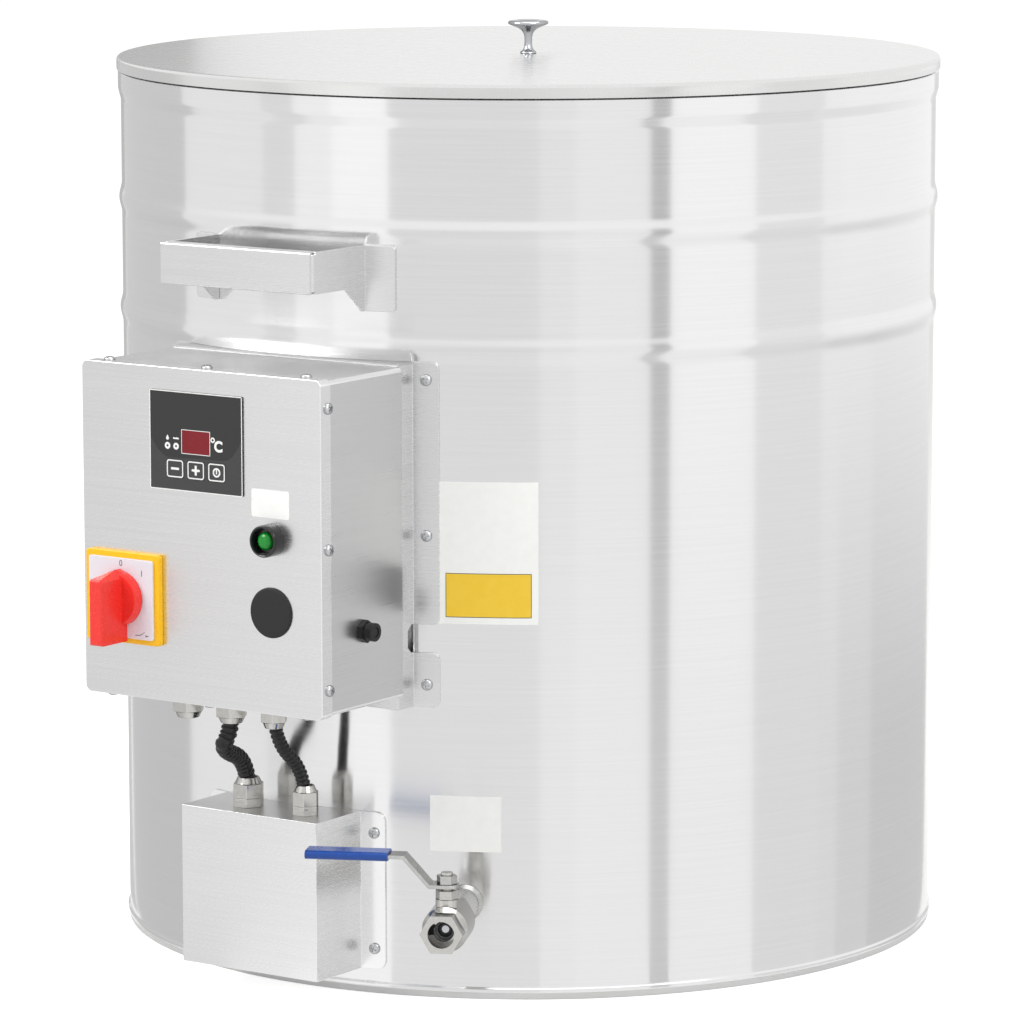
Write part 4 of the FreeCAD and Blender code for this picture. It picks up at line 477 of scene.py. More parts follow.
# Bright zinc on pressed steel: pale, a little cloudy; a painted reflection darkens its edges.
zinc = painted_dark_rim("bright_zinc_plate", "C4C6C8", "DEE0E1", (0.20, 0.34), 0.01, 500, Metallic=1.0)
# Polished chrome plate: a clear mirror with hardly any haze; a painted reflection darkens its edges.
chrome = painted_dark_rim("polished_chrome_plate", "C6C8CC", "D6D8DC", (0.04, 0.09), 0.002, 90, Metallic=1.0)
# Nickel plate on machined brass: warm grey mirror, softened by the blasting under it; a painted reflection
# darkens its edges.
nickel = painted_dark_rim("nickel_plated_brass", "CBC9C4", "E2E1DD", (0.09, 0.20), 0.015, 420, Metallic=1.0)
# Drawn 304 pipe with turning marks and weld haze.
pipe_steel = grained("turned_304_pipe", "B4B4B1", "D0D0CD", (0.22, 0.34), 0.01, 60, (1, 1, 14), Metallic=1.0)
# Rolled and pressed 304 strip of the lever, tumbled smooth; a painted reflection darkens its edges.
lever_steel = painted_dark_rim("tumbled_304_strip", "C2C2C0", "DBDBD9", (0.18, 0.30), 0.01, 260, Metallic=1.0)
# PVC dipped on hot: thick, glossy, with a soft orange-peel skin.
sleeve_pvc = grained("dipped_pvc_blue", "0B3F92", "0F489E", (0.20, 0.28), 0.006, 240, IOR=1.53)
# Glass-filled nylon, moulded in a spark-eroded mould: fine matt sparkle.
black_nylon = grained("moulded_black_nylon", "0E0E0F", "19191A", (0.38, 0.52), 0.006, 1600, IOR=1.53,
                      Specular_IOR_Level=0.3)
# The same nylon moulded thin and matt for the plug.
matt_nylon = grained("matt_black_nylon", "1E1E1F", "262626", (0.55, 0.68), 0.006, 1400, IOR=1.53,
                     Specular_IOR_Level=0.3)
# Polished ABS for the lamp's bezel.
black_abs = grained("polished_black_abs", "0E0E10", "1B1A1E", (0.14, 0.24), 0.01, 300, IOR=1.54)
# Polycarbonate moulded in red: glossy, with slight flow haze.
red_plastic = grained("moulded_red_polycarbonate", "EE3029", "F2372F", (0.22, 0.30), 0.004, 420, IOR=1.58,
                      Specular_IOR_Level=0.35)
# Polycarbonate moulded in yellow: satin.
yellow_plastic = grained("moulded_yellow_polycarbonate", "FCBC00", "FFC608", (0.30, 0.40), 0.004, 500,
                         IOR=1.58, Specular_IOR_Level=0.3)
# Moulded white face of the switch, satin.
white_plastic = grained("moulded_white_polycarbonate", "DDDCE4", "E6E5EC", (0.32, 0.46), 0.004, 500,
                        IOR=1.58)
# Screen-printed polyester overlay, fine matt texture; dark above, a shade lighter below.
foil_dark = grained("printed_polyester_dark", "303030", "383838", (0.42, 0.56), 0.01, 1500, IOR=1.57,
                    Specular_IOR_Level=0.2)
foil_light = grained("printed_polyester_grey", "3D3D3E", "464647", (0.42, 0.56), 0.01, 1500, IOR=1.57,
                     Specular_IOR_Level=0.2)
# Tinted acrylic over the digits, which are off: deep red under a clear gloss.
red_acrylic = grained("tinted_acrylic_window", "7A2027", "86272E", (0.08, 0.16), 0.004, 120, IOR=1.49,
                      Specular_IOR_Level=0.25)
# White ink, printed thick: even and matt.
white_ink = grained("white_screen_ink", "E2E2E0", "F6F6F4", (0.45, 0.60), 0.008, 1800)
# Dark ink on white plastic.
dark_ink = grained("dark_pad_ink", "3A3740", "55505A", (0.45, 0.60), 0.008, 1800)
# Green polycarbonate of the lamp, which is off: deep green and very glossy.
green_lens = grained("green_polycarbonate_lens", "03801F", "0A9630", (0.05, 0.10), 0.005, 260, IOR=1.58,
                     Specular_IOR_Level=0.4)
# Polyamide conduit, extruded and corrugated: black with a soft waxy shine.
conduit = grained("corrugated_black_polyamide", "0C0C0D", "161617", (0.24, 0.36), 0.006, 700, IOR=1.53,
                  Specular_IOR_Level=0.4)
# White PVC film of the labels, satin, with its backing's faint unevenness.
label_film = grained("white_label_film", "F1F1EF", "FAFAF8", (0.34, 0.48), 0.02, 160, IOR=1.5)
yellow_film = grained("yellow_label_film", "F0C31F", "F8D033", (0.34, 0.48), 0.02, 160, IOR=1.5)
# Skived PTFE: waxy white.
ptfe = grained("skived_ptfe", "EBEBE6", "F6F6F2", (0.40, 0.55), 0.02, 600, (1, 1, 4), IOR=1.35)
# Turned brass of the heater's plug.
brass = grained("turned_brass", "B99A55", "CDB06B", (0.20, 0.34), 0.015, 500, Metallic=1.0)
# Urea terminal block, dull and cream.
urea = grained("moulded_cream_urea", "CFC8B6", "DDD6C5", (0.50, 0.64), 0.03, 700, IOR=1.6)
# The valve's bore: a brown-black finish that is painted shade, for the deep shadow inside it.
painted_bore_shade = grained("bore_painted_shade", "1A1816", "2C2926", (0.18, 0.34), 0.01, 300, Metallic=0.6)
FINISHES = {
    "brushed_stainless": tank_steel, "folded_stainless": folded_steel, "zinc_plated_steel": zinc,
    "polished_chrome": chrome, "nickel_plated_brass": nickel, "welded_pipe": pipe_steel,
    "lever_steel": lever_steel, "lever_vinyl": sleeve_pvc, "black_moulding": black_nylon,
    "red_knob": red_plastic, "yellow_plate": yellow_plastic, "white_plate": white_plastic,
    "front_foil": foil_dark, "key_foil": foil_light, "display_filter": red_acrylic,
    "lamp_moulding": black_abs, "lamp_lens": green_lens, "hose_polyamide": conduit,
    "reset_moulding": black_nylon, "reset_plastic": matt_nylon, "seat_ptfe": ptfe,
    "heater_brass": brass, "terminal_moulding": urea,
}


def paint_cad():
    """The CAD nodes that nothing replaces keep their shape and take their material's finish."""
    for node, carried in frame["nodes"].items():
        for place in carried.material_slots:
            place.material = FINISHES[SLOT[node]]


paint_cad()


# Tank and lid, turned smooth

def offset(outline, radius, height):
    """Carries an outline of (out, up) to its radius and height."""
    return [(radius + out, height + up) for out, up in outline]


def bead(middle):
    """Outline points of one rolled bead, its crest and feet round."""
    points = [(SHELL_RADIUS, middle - BEAD_HALF - BEAD_MARGIN)]
    for step in range(BEAD_STEPS + 1):
        share = step / BEAD_STEPS * 2 - 1
        out = BEAD_OUT * (0.5 + 0.5 * math.cos(math.pi * share))
        points.append((SHELL_RADIUS + out, middle + BEAD_HALF * share))
    return points + [(SHELL_RADIUS, middle + BEAD_HALF + BEAD_MARGIN)]


def make_wall():
    wall = offset(HEM, SHELL_RADIUS, 0)
    wall += [(SHELL_RADIUS, height) for height in WALL_HEIGHTS]
    for middle in BEAD_HEIGHTS:
        wall += bead(middle)
    wall += offset(COLLAR, SHELL_RADIUS, COLLAR_TOP)
    shell = spun("tank_wall", wall, ROUND_STEPS)
    apply_modifier(shell, "SOLIDIFY", thickness=SHEET * MM, offset=-1)
    smooth(shell)
    fit_in(shell, "outer_shell", tank_steel)


def make_pan():
    outline = [(0, 0)] + offset(PAN_RIM, SHELL_RADIUS, 0) + [(0, THIN_SHEET)]
    pan = spun("tank_base", outline, PLAIN_STEPS)
    smooth(pan)
    fit_in(pan, "base_pan", dull_steel_and_shade)


def vessel_bend(radius, angles):
    """The round between the vessel's bottom and its wall, on its inside or its outside."""
    middle = VESSEL_RADIUS - VESSEL_BEND
    height = VESSEL_UNDERSIDE + SHEET + VESSEL_BEND
    return [(middle + radius * math.sin(angle), height - radius * math.cos(angle)) for angle in angles]


def make_vessel():
    outline = [(0, VESSEL_UNDERSIDE + SHEET)]
    outline += vessel_bend(VESSEL_BEND, BEND_ANGLES)
    outline += offset(VESSEL_RIM, VESSEL_RADIUS, COLLAR_TOP)
    outline += vessel_bend(VESSEL_BEND + SHEET, reversed(BEND_ANGLES))
    outline += [(0, VESSEL_UNDERSIDE)]
    vessel = spun("wax_vessel_wall", outline, PLAIN_STEPS)
    smooth(vessel)
    fit_in(vessel, "inner_vessel", drawn_steel)


def make_lid():
    outline = [(0, LID_TOP), (LID_MIDWAY, LID_TOP)]
    outline += offset(LID_RIM, LID_RADIUS, LID_TOP)
    outline += [(0, LID_TOP - THIN_SHEET)]
    lid = spun("lid_plate", outline, ROUND_STEPS)
    smooth(lid)
    fit_in(lid, "lid_panel", lid_steel)


def make_lid_knob():
    knob = spun("lid_knob_turned", KNOB)
    settle(knob, (0, 0, LID_TOP))
    smooth(knob, 50)
    fit_in(knob, "lid_knob", chrome)


make_wall()
make_pan()
make_vessel()
make_lid()
make_lid_knob()


# Box, bracket, handles and heater box: folded sheet with small bend radii
# Which faces take painted shade (those that look up) and which a painted fold highlight (those not square
# on)
LOOKS_UP = 0.9
SQUARE_ON = 0.98


def make_edged(*parts):
    """Makes edged copies from rows of node, finish, edge width and, where it differs, segments."""
    for node, finish, *edge in parts:
        edged(node, finish, *edge)


def paint_shade_and_highlights(node, upper):
    """Gives the faces that look up a darker finish of their own as painted shade, and the outsides of the
    folds a brighter one as a painted highlight.
    """
    mesh = bpy.data.objects[node + "_finished"].data
    mesh.materials.append(upper)
    mesh.materials.append(highlight_fold_steel)
    for face in mesh.polygons:
        if face.normal.z > LOOKS_UP:
            face.material_index = 1
        elif max(abs(part) for part in face.normal) < SQUARE_ON:
            face.material_index = 2


def make_bracket_lip():
    """The bracket's top edge, bent back to the tank and cut to its curve."""
    across = range(-LIP_HALF, LIP_HALF + 1, LIP_STEP)
    edge = [(x, -math.sqrt(LIP_RADIUS ** 2 - x * x), LIP_HEIGHT) for x in across]
    first, last = ((x, LIP_FOOT, LIP_HEIGHT) for x in (-LIP_HALF, LIP_HALF))
    piece = line("bracket_top_lip", [first] + edge + [last])
    face_up(piece)
    apply_modifier(piece, "SOLIDIFY", thickness=THIN_SHEET * MM, offset=-1)
    # The lip takes the darker finish of the faces that look up: painted shade.
    fit_in(piece, "box_bracket", shaded_upper_steel, stands_for=False)


make_edged(
    ("box_body", dull_steel_and_shade, 1.0), ("box_cover", folded_steel, 1.1), ("box_bracket", folded_steel, 0.4),
    ("heater_box", heater_steel, 1.1), ("front_handle_strap", folded_steel, 0.4),
    ("back_handle_strap", folded_steel, 0.4), ("front_handle_grip", folded_steel, 0.4),
    ("back_handle_grip", folded_steel, 0.4))
# Painted shade on the box's tops and painted highlights on its folds; the heater box's top takes the body's
# darker finish as painted shade under the control box.
paint_shade_and_highlights("box_body", shaded_upper_steel)
paint_shade_and_highlights("box_cover", shaded_upper_steel)
paint_shade_and_highlights("heater_box", dull_steel_and_shade)
make_bracket_lip()


# Screws: a domed head with a cross recess, modelled once

def islands(node):
    """Middle, axis, face area and height of each loose piece of a CAD node."""
    whole = merged_copy(node, "measure")
    pick(whole)
    bpy.ops.mesh.separate(type="LOOSE")
    found = []
    for piece in list(bpy.context.selected_objects):
        corners = [vertex.co.copy() for vertex in piece.data.vertices]
        middle = sum(corners, Vector()) / len(corners)
        flat = max(piece.data.polygons, key=lambda face: face.area)
        axis = flat.normal.copy()
        heights = [(corner - middle).dot(axis) for corner in corners]
        found.append((middle, axis, flat.area, max(heights) - min(heights)))
        bpy.data.objects.remove(piece)
    return found


def recess_bar(turn):
    """One bar of the cross that is cut into a head."""
    bpy.ops.object.select_all(action="DESELECT")
    bpy.ops.mesh.primitive_cube_add(size=1, location=(0, 0, 1.0))
    bar = bpy.context.object
    bar.dimensions = RECESS
    bar.rotation_euler[2] = math.radians(turn)
    bpy.ops.object.transform_apply(location=True, rotation=True, scale=True)
    bpy.ops.object.mode_set(mode="EDIT")
    bpy.ops.mesh.select_all(action="SELECT")
    bpy.ops.mesh.bevel(offset=RECESS_EDGE, segments=1, affect="EDGES")
    bpy.ops.object.mode_set(mode="OBJECT")
    return bar


def screw_head():
    """A pan head, 1 across its radius and 1 high, with its cross recess cut in."""
    head = spun("screw_head", [(out / MM, up / MM) for out, up in HEAD], HEAD_STEPS)
    for bar in [recess_bar(turn) for turn in (0, 90)]:
        apply_modifier(head, "BOOLEAN", operation="DIFFERENCE", object=bar, solver="EXACT")
        bpy.data.objects.remove(bar)
    return head


def set_screws(model, node, inside):
    """Copies the head onto each of a node's screws, turned its own way, and joins the copies."""
    heads = []
    for count, (middle, axis, area, height) in enumerate(islands(node)):
        outward = axis if (middle - inside(middle)).dot(axis) > 0 else -axis
        radius = math.sqrt(area / math.pi)
        copy = bpy.data.objects.new("head", model.data.copy())
        bpy.context.scene.collection.objects.link(copy)
        foot = middle - outward * height / 2
        turn = outward.to_track_quat("Z", "Y").to_matrix().to_4x4()
        twist = Matrix.Rotation(FIRST_TWIST + count * NEXT_TWIST, 4, "Z")
        size = Matrix.Diagonal((radius, radius, height, 1))
        copy.matrix_world = Matrix.Translation(foot) @ turn @ twist @ size
        pick(copy)
        bpy.ops.object.transform_apply(location=True, rotation=True, scale=True)
        heads.append(copy)
    piece = joined(node + "_crossed", heads)
    smooth(piece, 40)
    fit_in(piece, node, zinc)


def make_screws():
    """The cover's screws point away from the box's middle line, the others away from the tank's axis."""
    model = screw_head()
    set_screws(model, "cover_screws", lambda point: Vector((0, point.y, BOX_MIDDLE_HEIGHT * MM)))
    set_screws(model, "bracket_screws", lambda point: Vector((0, 0, point.z)))
    set_screws(model, "heater_box_screws", lambda point: Vector((0, 0, point.z)))
    bpy.data.objects.remove(model)


make_screws()


# Front panel: switch, controller, lamp and plug

def print_on(piece, node, finish):
    return fit_in(piece, node, finish, stands_for=False)


def on_face(place, face, lift=0.0):
    """The place (x, z) on a face that stands at y, lifted off it toward the front."""
    across, up = place
    return (across, face - lift, up)


def make_switch_prints():
    def mark(name, words, place):
        sign = lettering(name, words, 6.0, on_face(place, SWITCH_FACE, INK_LIFT))
        print_on(sign, "switch_face", dark_ink)

    def stroke(name, outline):
        flat = plate(name, outline, INK, on_face((0, 0), SWITCH_FACE, STROKE_LIFT))
        print_on(flat, "switch_face", dark_ink)

    mark("switch_mark_off", "0", (-65.0, 310.3))
    mark("switch_mark_on", "1", (-46.7, 304.5))
    half = 0.25
    run = [(-52.9, 260.9), (-49.4, 261.0), (-46.9, 261.9), (-44.7, 263.7)]
    band = [(x, z - half) for x, z in run] + [(x, z + half) for x, z in reversed(run)]
    stroke("switch_turn_line", band)
    stroke("switch_turn_arrow", [(-43.9, 261.6), (-43.6, 260.4), (-40.6, 261.0)])


def make_foil_area():
    """The lighter print on the lower part of the overlay, with a window for each key to sink through."""
    low = [(-42.5, 401.2), (-39.0, 396.6), (-35.2, 391.9), (-31.6, 388.9), (-28.6, 387.6), (-25.6, 387.1),
           (-10.0, 387.5), (8.0, 388.0), (20.5, 388.2), (25.2, 389.2), (28.8, 391.6), (32.2, 395.8),
           (35.4, 400.6), (37.1, 403.4)]
    corner = [(37.1, 366.6), (36.4, 365.2), (35.0, 364.7), (-40.4, 364.7), (-41.8, 365.2), (-42.5, 366.6)]
    area = plate("foil_lower_area", low + corner, FOIL_PRINT, on_face((0, 0), OVERLAY_FACE))
    for x in KEYS.values():
        depth = 2.0
        place = on_face((x, KEY_HEIGHT), OVERLAY_FACE, -depth / 2)
        window = plate("key_window", rounded(14.8, 12.8, 1.4), depth, place)
        apply_modifier(area, "BOOLEAN", operation="DIFFERENCE", solver="EXACT", object=window)
        bpy.data.objects.remove(window)
    print_on(area, "controller_foil", foil_light)


def make_controller_prints():
    """The thin frames, the degree sign with its letter, and the small state marks."""
    def ink(piece):
        print_on(piece, "controller_foil", white_ink)

    edge_place = on_face(CONTROLLER, OVERLAY_FACE, INK_LIFT)
    ink(rim_line("foil_edge_line", 80.0, 69.0, 1.2, 0.7, edge_place))
    frame_place = on_face(CONTROLLER, OVERLAY_FACE, FRAME_LIFT)
    ink(rim_line("display_frame", 24.9, 16.9, 0.4, 0.45, frame_place))
    ink(disc("degree_ring", 1.9, on_face((12.0, 401.9), OVERLAY_FACE), 0.85))
    ink(lettering("celsius_letter", "C", 10.2, on_face((16.8, 397.4), OVERLAY_FACE, INK_LIFT), 0.42))
    for number, x in enumerate((-27.2, -19.8)):
        ink(disc(f"state_ring_{number}", 2.4, on_face((x, 395.3), OVERLAY_FACE), 0.8))
    drop = [(-27.2, 402.9), (-26.4, 401.6), (-25.9, 400.6), (-26.1, 399.8), (-26.8, 399.3), (-27.6, 399.3),
            (-28.3, 399.8), (-28.5, 400.6), (-28.0, 401.6)]
    ink(plate("heat_mark", drop, INK, on_face((0, 0), OVERLAY_FACE)))
    dash = [(-22.3, 400.2), (-17.3, 400.2), (-17.3, 401.1), (-19.0, 401.5), (-20.6, 401.1), (-22.3, 401.5)]
    ink(plate("level_mark", dash, INK, on_face((0, 0), OVERLAY_FACE)))


def make_key_prints():
    """Each key's frame, and its minus, plus or power sign."""
    def place(node, lift=0.0, rise=0.0):
        return on_face((KEYS[node], KEY_HEIGHT + rise), KEY_FACE, lift)

    for node in KEYS:
        print_on(rim_line(node + "_line", 14.2, 12.2, 1.9, 0.9, place(node, KEY_LINE_LIFT)), node, white_ink)
    minus = plate("minus_sign", rounded(7.0, 1.6, 0.4), INK, place("key_minus"))
    print_on(minus, "key_minus", white_ink)
    cross = [(-0.9, -3.4), (0.9, -3.4), (0.9, -0.9), (3.5, -0.7), (3.5, 0.7), (0.9, 0.9), (0.9, 3.4),
             (-0.9, 3.4), (-0.9, 0.9), (-3.5, 0.7), (-3.5, -0.7), (-0.9, -0.9)]
    print_on(plate("plus_sign", cross, INK, place("key_plus")), "key_plus", white_ink)
    print_on(disc("power_ring", 3.3, place("key_power"), 2.1), "key_power", white_ink)
    bar = plate("power_bar", rounded(1.1, 3.2, 0.3), INK, place("key_power", rise=0.5))
    print_on(bar, "key_power", white_ink)


def turned_front(name, node, outline, steps, place, finish, angle=40):
    """A turned piece that stands on the box's front, its outline (radius, out from the front)."""
    piece = spun(name, outline, steps)
    settle(piece, on_face(place, BOX_FRONT), FACING_FRONT)
    smooth(piece, angle)
    fit_in(piece, node, finish)


def make_lamp_and_plug():
    cup = [(0, -24), (8, -24), (8, 0), (11.0, 0), (11.2, 0.4), (11.2, 7.6), (11.05, 9.4), (10.6, 10.3),
           (10.0, 10.5), (9.4, 10.2), (9.1, 9.4), (8.8, 5.4), (8.2, 4.6), (0, 4.5)]
    turned_front("lamp_cup", "lamp_bezel", cup, 72, LAMP, black_abs)
    lens_radius, lens_foot, dome_foot, dome_rise, steps = 6.2, 4.5, 6.0, 3.9, 12
    dome = [(0, lens_foot), (lens_radius, lens_foot)]
    for angle in [math.pi / 2 * step / steps for step in range(steps, 0, -1)]:
        dome.append((lens_radius * math.sin(angle), dome_foot + dome_rise * math.cos(angle)))
    dome.append((0, dome_foot + dome_rise))
    turned_front("lamp_dome", "lamp_lens", dome, 64, LAMP, green_lens, 50)
    cap = [(0, -8), (13.6, -8), (13.6, -4), (14.4, -3), (14, 0), (17.3, 0), (17.5, 0.3), (17.45, 0.9),
           (17.0, 1.5), (16.0, 1.8), (12.5, 1.92), (6, 1.98), (0, 2.0)]
    turned_front("hole_plug", "blanking_plug", cap, 96, PLUG, matt_nylon)
    label = plate("lamp_label", rounded(32.0, 19.4, 1.6), LABEL_FILM, on_face(LAMP_LABEL, BOX_FRONT))
    print_on(label, "box_cover", label_film)


make_edged(
    ("switch_plate", yellow_plastic, 0.7), ("switch_face", white_plastic, 0.4),
    ("switch_knob", red_plastic, 0.8), ("controller_foil", foil_dark, 0.25),
    ("display_window", red_acrylic, 0.1), ("key_minus", foil_light, 0.15), ("key_plus", foil_light, 0.15),
    ("key_power", foil_light, 0.15), ("reset_bushing", black_nylon, 0.4), ("reset_button", matt_nylon, 0.4))
make_switch_prints()
make_foil_area()
make_controller_prints()
make_key_prints()
make_lamp_and_plug()


# Labels on the tank, curved with it and left bare

def curved_label(name, angles, heights, finish, out=0.0, thickness=LABEL_FILM):
    """A film laid round the wall between two angles, in degrees from the box's side toward the valve."""
    first, last = angles
    low, high = heights
    inner = SHELL_RADIUS + LABEL_GLUE + out
    outer = inner + thickness
    outline = [(inner, low), (outer, low), (outer, high), (inner, high), (inner, low)]
    piece = spun(name, outline, LABEL_STEPS, last - first, first)
    pick(piece)
    bpy.ops.object.mode_set(mode="EDIT")
    bpy.ops.mesh.select_mode(type="EDGE")
    bpy.ops.mesh.select_all(action="DESELECT")
    bpy.ops.mesh.select_non_manifold()
    bpy.ops.mesh.edge_face_add()
    bpy.ops.mesh.select_all(action="SELECT")
    bpy.ops.mesh.normals_make_consistent(inside=False)
    bpy.ops.object.mode_set(mode="OBJECT")
    smooth(piece, 30)
    return print_on(piece, "switch_face", finish)


def make_labels():
    """Mirrors leave the yellow panel out, because it would stain the side of the box."""
    curved_label("tank_label", (22.4, 35.7), (267.0, 367.0), label_film)
    curved_label("tank_label_outline", (23.3, 34.8), (271.6, 302.8), dark_ink, 0.1, LABEL_INK)
    panel = curved_label("tank_label_panel", (23.4, 34.7), (272.1, 302.3), yellow_film, 0.13, LABEL_INK)
    panel.visible_glossy = False
    curved_label("drain_label", (21.1, 30.7), (105.3, 145.0), label_film)


make_labels()


# Glands, valve and lever

def paint_bore_shade():
    """Paints shade into the machined bore ahead of the ball: its inner faces take the brown-black finish;
    the outside keeps its plate.
    """
    body = bpy.data.objects["valve_body_finished"]
    body.data.materials.append(painted_bore_shade)
    low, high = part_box("valve_seats")
    middle = (low + high) / 2
    azimuth = math.radians(VALVE_AZIMUTH)
    run = Vector((math.sin(azimuth), -math.cos(azimuth), 0))
    for face in body.data.polygons:
        spoke = face.center - middle
        along = spoke.dot(run)
        off = spoke - run * along
        if off.length < BORE_RADIUS * MM and face.normal.dot(off) < 0 and along > BALL_REACH * MM:
            face.material_index = 1


make_edged(
    ("gland_bodies", nickel, 0.35), ("gland_caps", nickel, 0.35), ("gland_locknuts", zinc, 0.3),
    ("valve_body", nickel, 0.5), ("valve_end_cap", nickel, 0.4), ("valve_gland_nut", nickel, 0.35),
    ("valve_lever", lever_steel, 0.3), ("lever_nut", lever_steel, 0.35),
    ("lever_sleeve", sleeve_pvc, 2.4, 4), ("filler_plug", nickel, 0.5), ("drain_pipe", pipe_steel, 0.25))
paint_bore_shade()


# Corrugated conduits, clipped between two glands

def guide_line(name, route):
    """A smooth line through a route's control points, and its length in mm."""
    data = bpy.data.curves.new(name, "CURVE")
    data.dimensions = "3D"
    data.twist_mode = "MINIMUM"
    spline = data.splines.new("NURBS")
    spline.points.add(len(route) - 1)
    for point, place in zip(spline.points, route):
        point.co = (*(Vector(place) * MM), 1)
    spline.order_u = 3
    spline.use_endpoint_u = True
    spline.resolution_u = ROUTE_STEPS
    guide = bpy.data.objects.new(name, data)
    bpy.context.scene.collection.objects.link(guide)
    trace = bpy.data.meshes.new_from_object(guide)
    corners = [vertex.co.copy() for vertex in trace.vertices]
    bpy.data.meshes.remove(trace)
    return guide, sum((b - a).length for a, b in zip(corners, corners[1:])) / MM


def conduit_between(name, node, route, crest):
    """A ribbed tube spun straight, then laid along the line from gland to gland."""
    guide, length = guide_line(name + "_line", route)
    pitch = length / RIBS
    valley = crest - RIB_DEPTH
    outline = [(0, 0), (valley, 0)]
    for rib in range(RIBS):
        outline += [(crest - below, rib * pitch + share * pitch) for share, below in RIB]
    outline += [(valley, length), (0, length)]
    tube = spun(name, outline, CONDUIT_STEPS)
    apply_modifier(tube, "CURVE", object=guide, deform_axis="POS_Z")
    bpy.data.objects.remove(guide)
    smooth(tube, 60)
    fit_in(tube, node, conduit)


conduit_between("heater_conduit", "heater_hose", HEATER_ROUTE, HEATER_CREST)
conduit_between("probe_conduit", "probe_hose", PROBE_ROUTE, PROBE_CREST)


# Studio: pale floor, soft lamps, and grey cards that show only in mirror-like surfaces; sizes in metres
FLOOR_SIZE = 24
FLOOR_COLOUR = "DADAD8"
FLOOR_TO_MIRRORS, FLOOR_TO_CAMERA = 0.30, 0.66
ROOM_LIGHT, ROOM_SEEN = 0.55, 1.0
WHITE = (1, 1, 1, 1)
CARD_REACH = 1.1
CARD_START = 0.31
CARD_LIFT = 0.003
CARD_HIGH, END_CARD_HIGH = 0.74, 1.6
CARD_FADE = 0.45
# From and to in degrees, tone above, tone on the floor
CARDS = (
    (-80, -56, 0.66, 0.60), (-56, -39.5, 0.89, 0.88), (-39.5, -34, 0.80, 0.80), (-34, -28, 0.99, 0.94),
    (-28, -19.5, 1.08, 1.04), (-19.5, 1.5, 0.80, 0.85), (1.5, 6.5, 0.87, 0.93), (6.5, 17, 0.92, 0.95),
    (17, 19.8, 0.53, 0.66), (19.8, 33, 1.04, 0.95), (33, 45, 0.87, 0.80), (45, 49, 0.98, 0.78),
    (49, 57, 1.0, 0.71), (57, 80, 1.0, 0.635))
END_CARD = (-90, -81, 0.50, 0.60)
# Name, place, what it aims at, size, watts, and the pieces it spares
LAMPS = (
    ("key_softbox", (-1.9, -2.4, 2.5), (0, 0, 0.35), 1.8, 70, ("tank_wall", "lid_plate")),
    ("fill_softbox", (2.6, -1.2, 1.9), (0, 0, 0.35), 1.6, 34, ("tank_wall", "lid_plate")),
    ("top_softbox", (0.2, 0.3, 3.0), (0, 0, 0), 2.2, 36, ("lid_plate",)))


def bare_tree(block):
    """Clears a material's or a world's nodes."""
    block.use_nodes = True
    block.node_tree.nodes.clear()
    return block.node_tree


def glow(tone, foot_tone):
    """A card's brightness: foot_tone on the floor, rising to tone."""
    finish = bpy.data.materials.new("card_tone")
    tree = bare_tree(finish)
    place = add(tree, "ShaderNodeTexCoord")
    height = add(tree, "ShaderNodeSeparateXYZ", links={"Vector": (place, "Object")})
    limits = {"From Min": 0.0, "From Max": CARD_FADE, "To Min": foot_tone, "To Max": tone}
    fade = add(tree, "ShaderNodeMapRange", limits, {"Value": (height, "Z")})
    light = add(tree, "ShaderNodeEmission", {"Color": WHITE}, {"Strength": (fade, "Result")})
    add(tree, "ShaderNodeOutputMaterial", links={"Surface": (light, "Emission")})
    return finish


def seen(tree):
    """1 for what the camera sees straight on, in a mirror or through glass."""
    path = add(tree, "ShaderNodeLightPath")
    rays = {0: (path, "Is Camera Ray"), 1: (path, "Is Glossy Ray")}
    first = add(tree, "ShaderNodeMath", links=rays, operation="MAXIMUM")
    rays = {0: (first, "Value"), 1: (path, "Is Transmission Ray")}
    return add(tree, "ShaderNodeMath", links=rays, operation="MAXIMUM")


def make_floor():
    """A matt floor that glows a little for the camera and for mirrors, but throws no light of its own."""
    bpy.ops.object.select_all(action="DESELECT")
    bpy.ops.mesh.primitive_plane_add(size=FLOOR_SIZE)
    floor = bpy.context.object
    floor.name = "studio_floor"
    finish = bpy.data.materials.new("pale_floor")
    tree = bare_tree(finish)
    matt = add(tree, "ShaderNodeBsdfDiffuse", {"Color": linear(FLOOR_COLOUR)})
    visible = seen(tree)
    path = add(tree, "ShaderNodeLightPath")
    limits = {"To Min": FLOOR_TO_MIRRORS, "To Max": FLOOR_TO_CAMERA}
    share = add(tree, "ShaderNodeMapRange", limits, {"Value": (path, "Is Camera Ray")})
    sources = {0: (share, "Result"), 1: (visible, "Value")}
    share = add(tree, "ShaderNodeMath", links=sources, operation="MULTIPLY")
    lift = add(tree, "ShaderNodeEmission", {"Color": WHITE}, {"Strength": (share, "Value")})
    both = add(tree, "ShaderNodeAddShader", links={0: (matt, "BSDF"), 1: (lift, "Emission")})
    add(tree, "ShaderNodeOutputMaterial", links={"Surface": (both, "Shader")})
    floor.data.materials.append(finish)


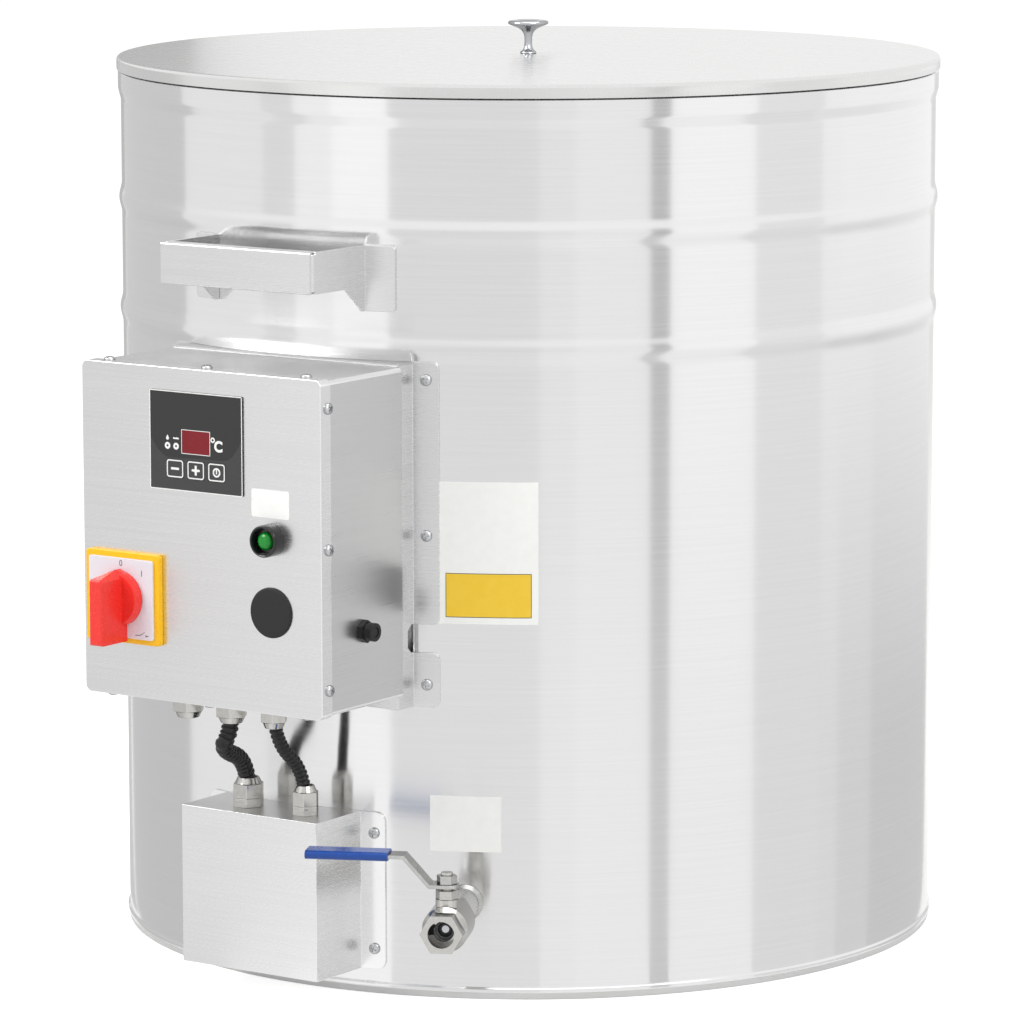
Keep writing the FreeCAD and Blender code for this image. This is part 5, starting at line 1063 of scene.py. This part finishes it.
def make_room():
    """White where it is seen, dimmer where it only lights."""
    world = bpy.data.worlds.new("studio")
    bpy.context.scene.world = world
    tree = bare_tree(world)
    visible = seen(tree)
    soft = add(tree, "ShaderNodeBackground", {"Color": WHITE, "Strength": ROOM_LIGHT})
    white = add(tree, "ShaderNodeBackground", {"Color": WHITE, "Strength": ROOM_SEEN})
    sources = {0: (visible, "Value"), 1: (soft, "Background"), 2: (white, "Background")}
    mixed = add(tree, "ShaderNodeMixShader", links=sources)
    add(tree, "ShaderNodeOutputWorld", links={"Surface": (mixed, "Shader")})


def make_card(first, last, tone, foot_tone, high=CARD_HIGH):
    """A card for the part of the wall that faces from first to last, in degrees from the camera's own
    direction: a floor part where that wall mirrors the near floor, and an upright part behind it."""
    corners = []
    for facing in (first, last):
        out = math.radians(CAMERA_AZIMUTH + facing)
        way = math.radians(CAMERA_AZIMUTH + 2 * facing)
        start = Vector((math.sin(out), -math.cos(out), 0)) * CARD_START
        step = Vector((math.sin(way), -math.cos(way), 0))
        along = start.dot(step)
        reach = math.sqrt(along * along - CARD_START * CARD_START + CARD_REACH * CARD_REACH) - along
        end = start + step * reach
        corners += [start + Vector((0, 0, CARD_LIFT)), end + Vector((0, 0, CARD_LIFT))]
        corners.append(end + Vector((0, 0, high)))
    mesh = bpy.data.meshes.new("studio_card")
    mesh.from_pydata(corners, [], [(0, 1, 4, 3), (1, 2, 5, 4)])
    card = bpy.data.objects.new("studio_card", mesh)
    bpy.context.scene.collection.objects.link(card)
    mesh.materials.append(glow(tone, foot_tone))
    card.visible_camera = False
    card.visible_diffuse = False
    card.visible_transmission = False
    card.visible_shadow = False


def make_lamp(name, place, aim, size, power, spared):
    """A square softbox; it leaves out the spared pieces, which would mirror it as clipped white patches."""
    data = bpy.data.lights.new(name, "AREA")
    data.shape = "RECTANGLE"
    data.size = data.size_y = size
    data.energy = power
    lamp = bpy.data.objects.new(name, data)
    bpy.context.scene.collection.objects.link(lamp)
    lamp.location = place
    lamp.rotation_euler = (Vector(aim) - Vector(place)).to_track_quat("-Z", "Y").to_euler()
    lit = bpy.data.collections.new(name + "_lights")
    for thing in bpy.context.scene.objects:
        if thing.type == "MESH" and thing.name not in spared:
            lit.objects.link(thing)
    lamp.light_linking.receiver_collection = lit


def make_studio():
    make_floor()
    make_room()
    for card in CARDS:
        make_card(*card)
    make_card(*END_CARD, END_CARD_HIGH)
    for lamp in LAMPS:
        make_lamp(*lamp)
    bpy.context.scene.view_settings.view_transform = "Standard"


make_studio()
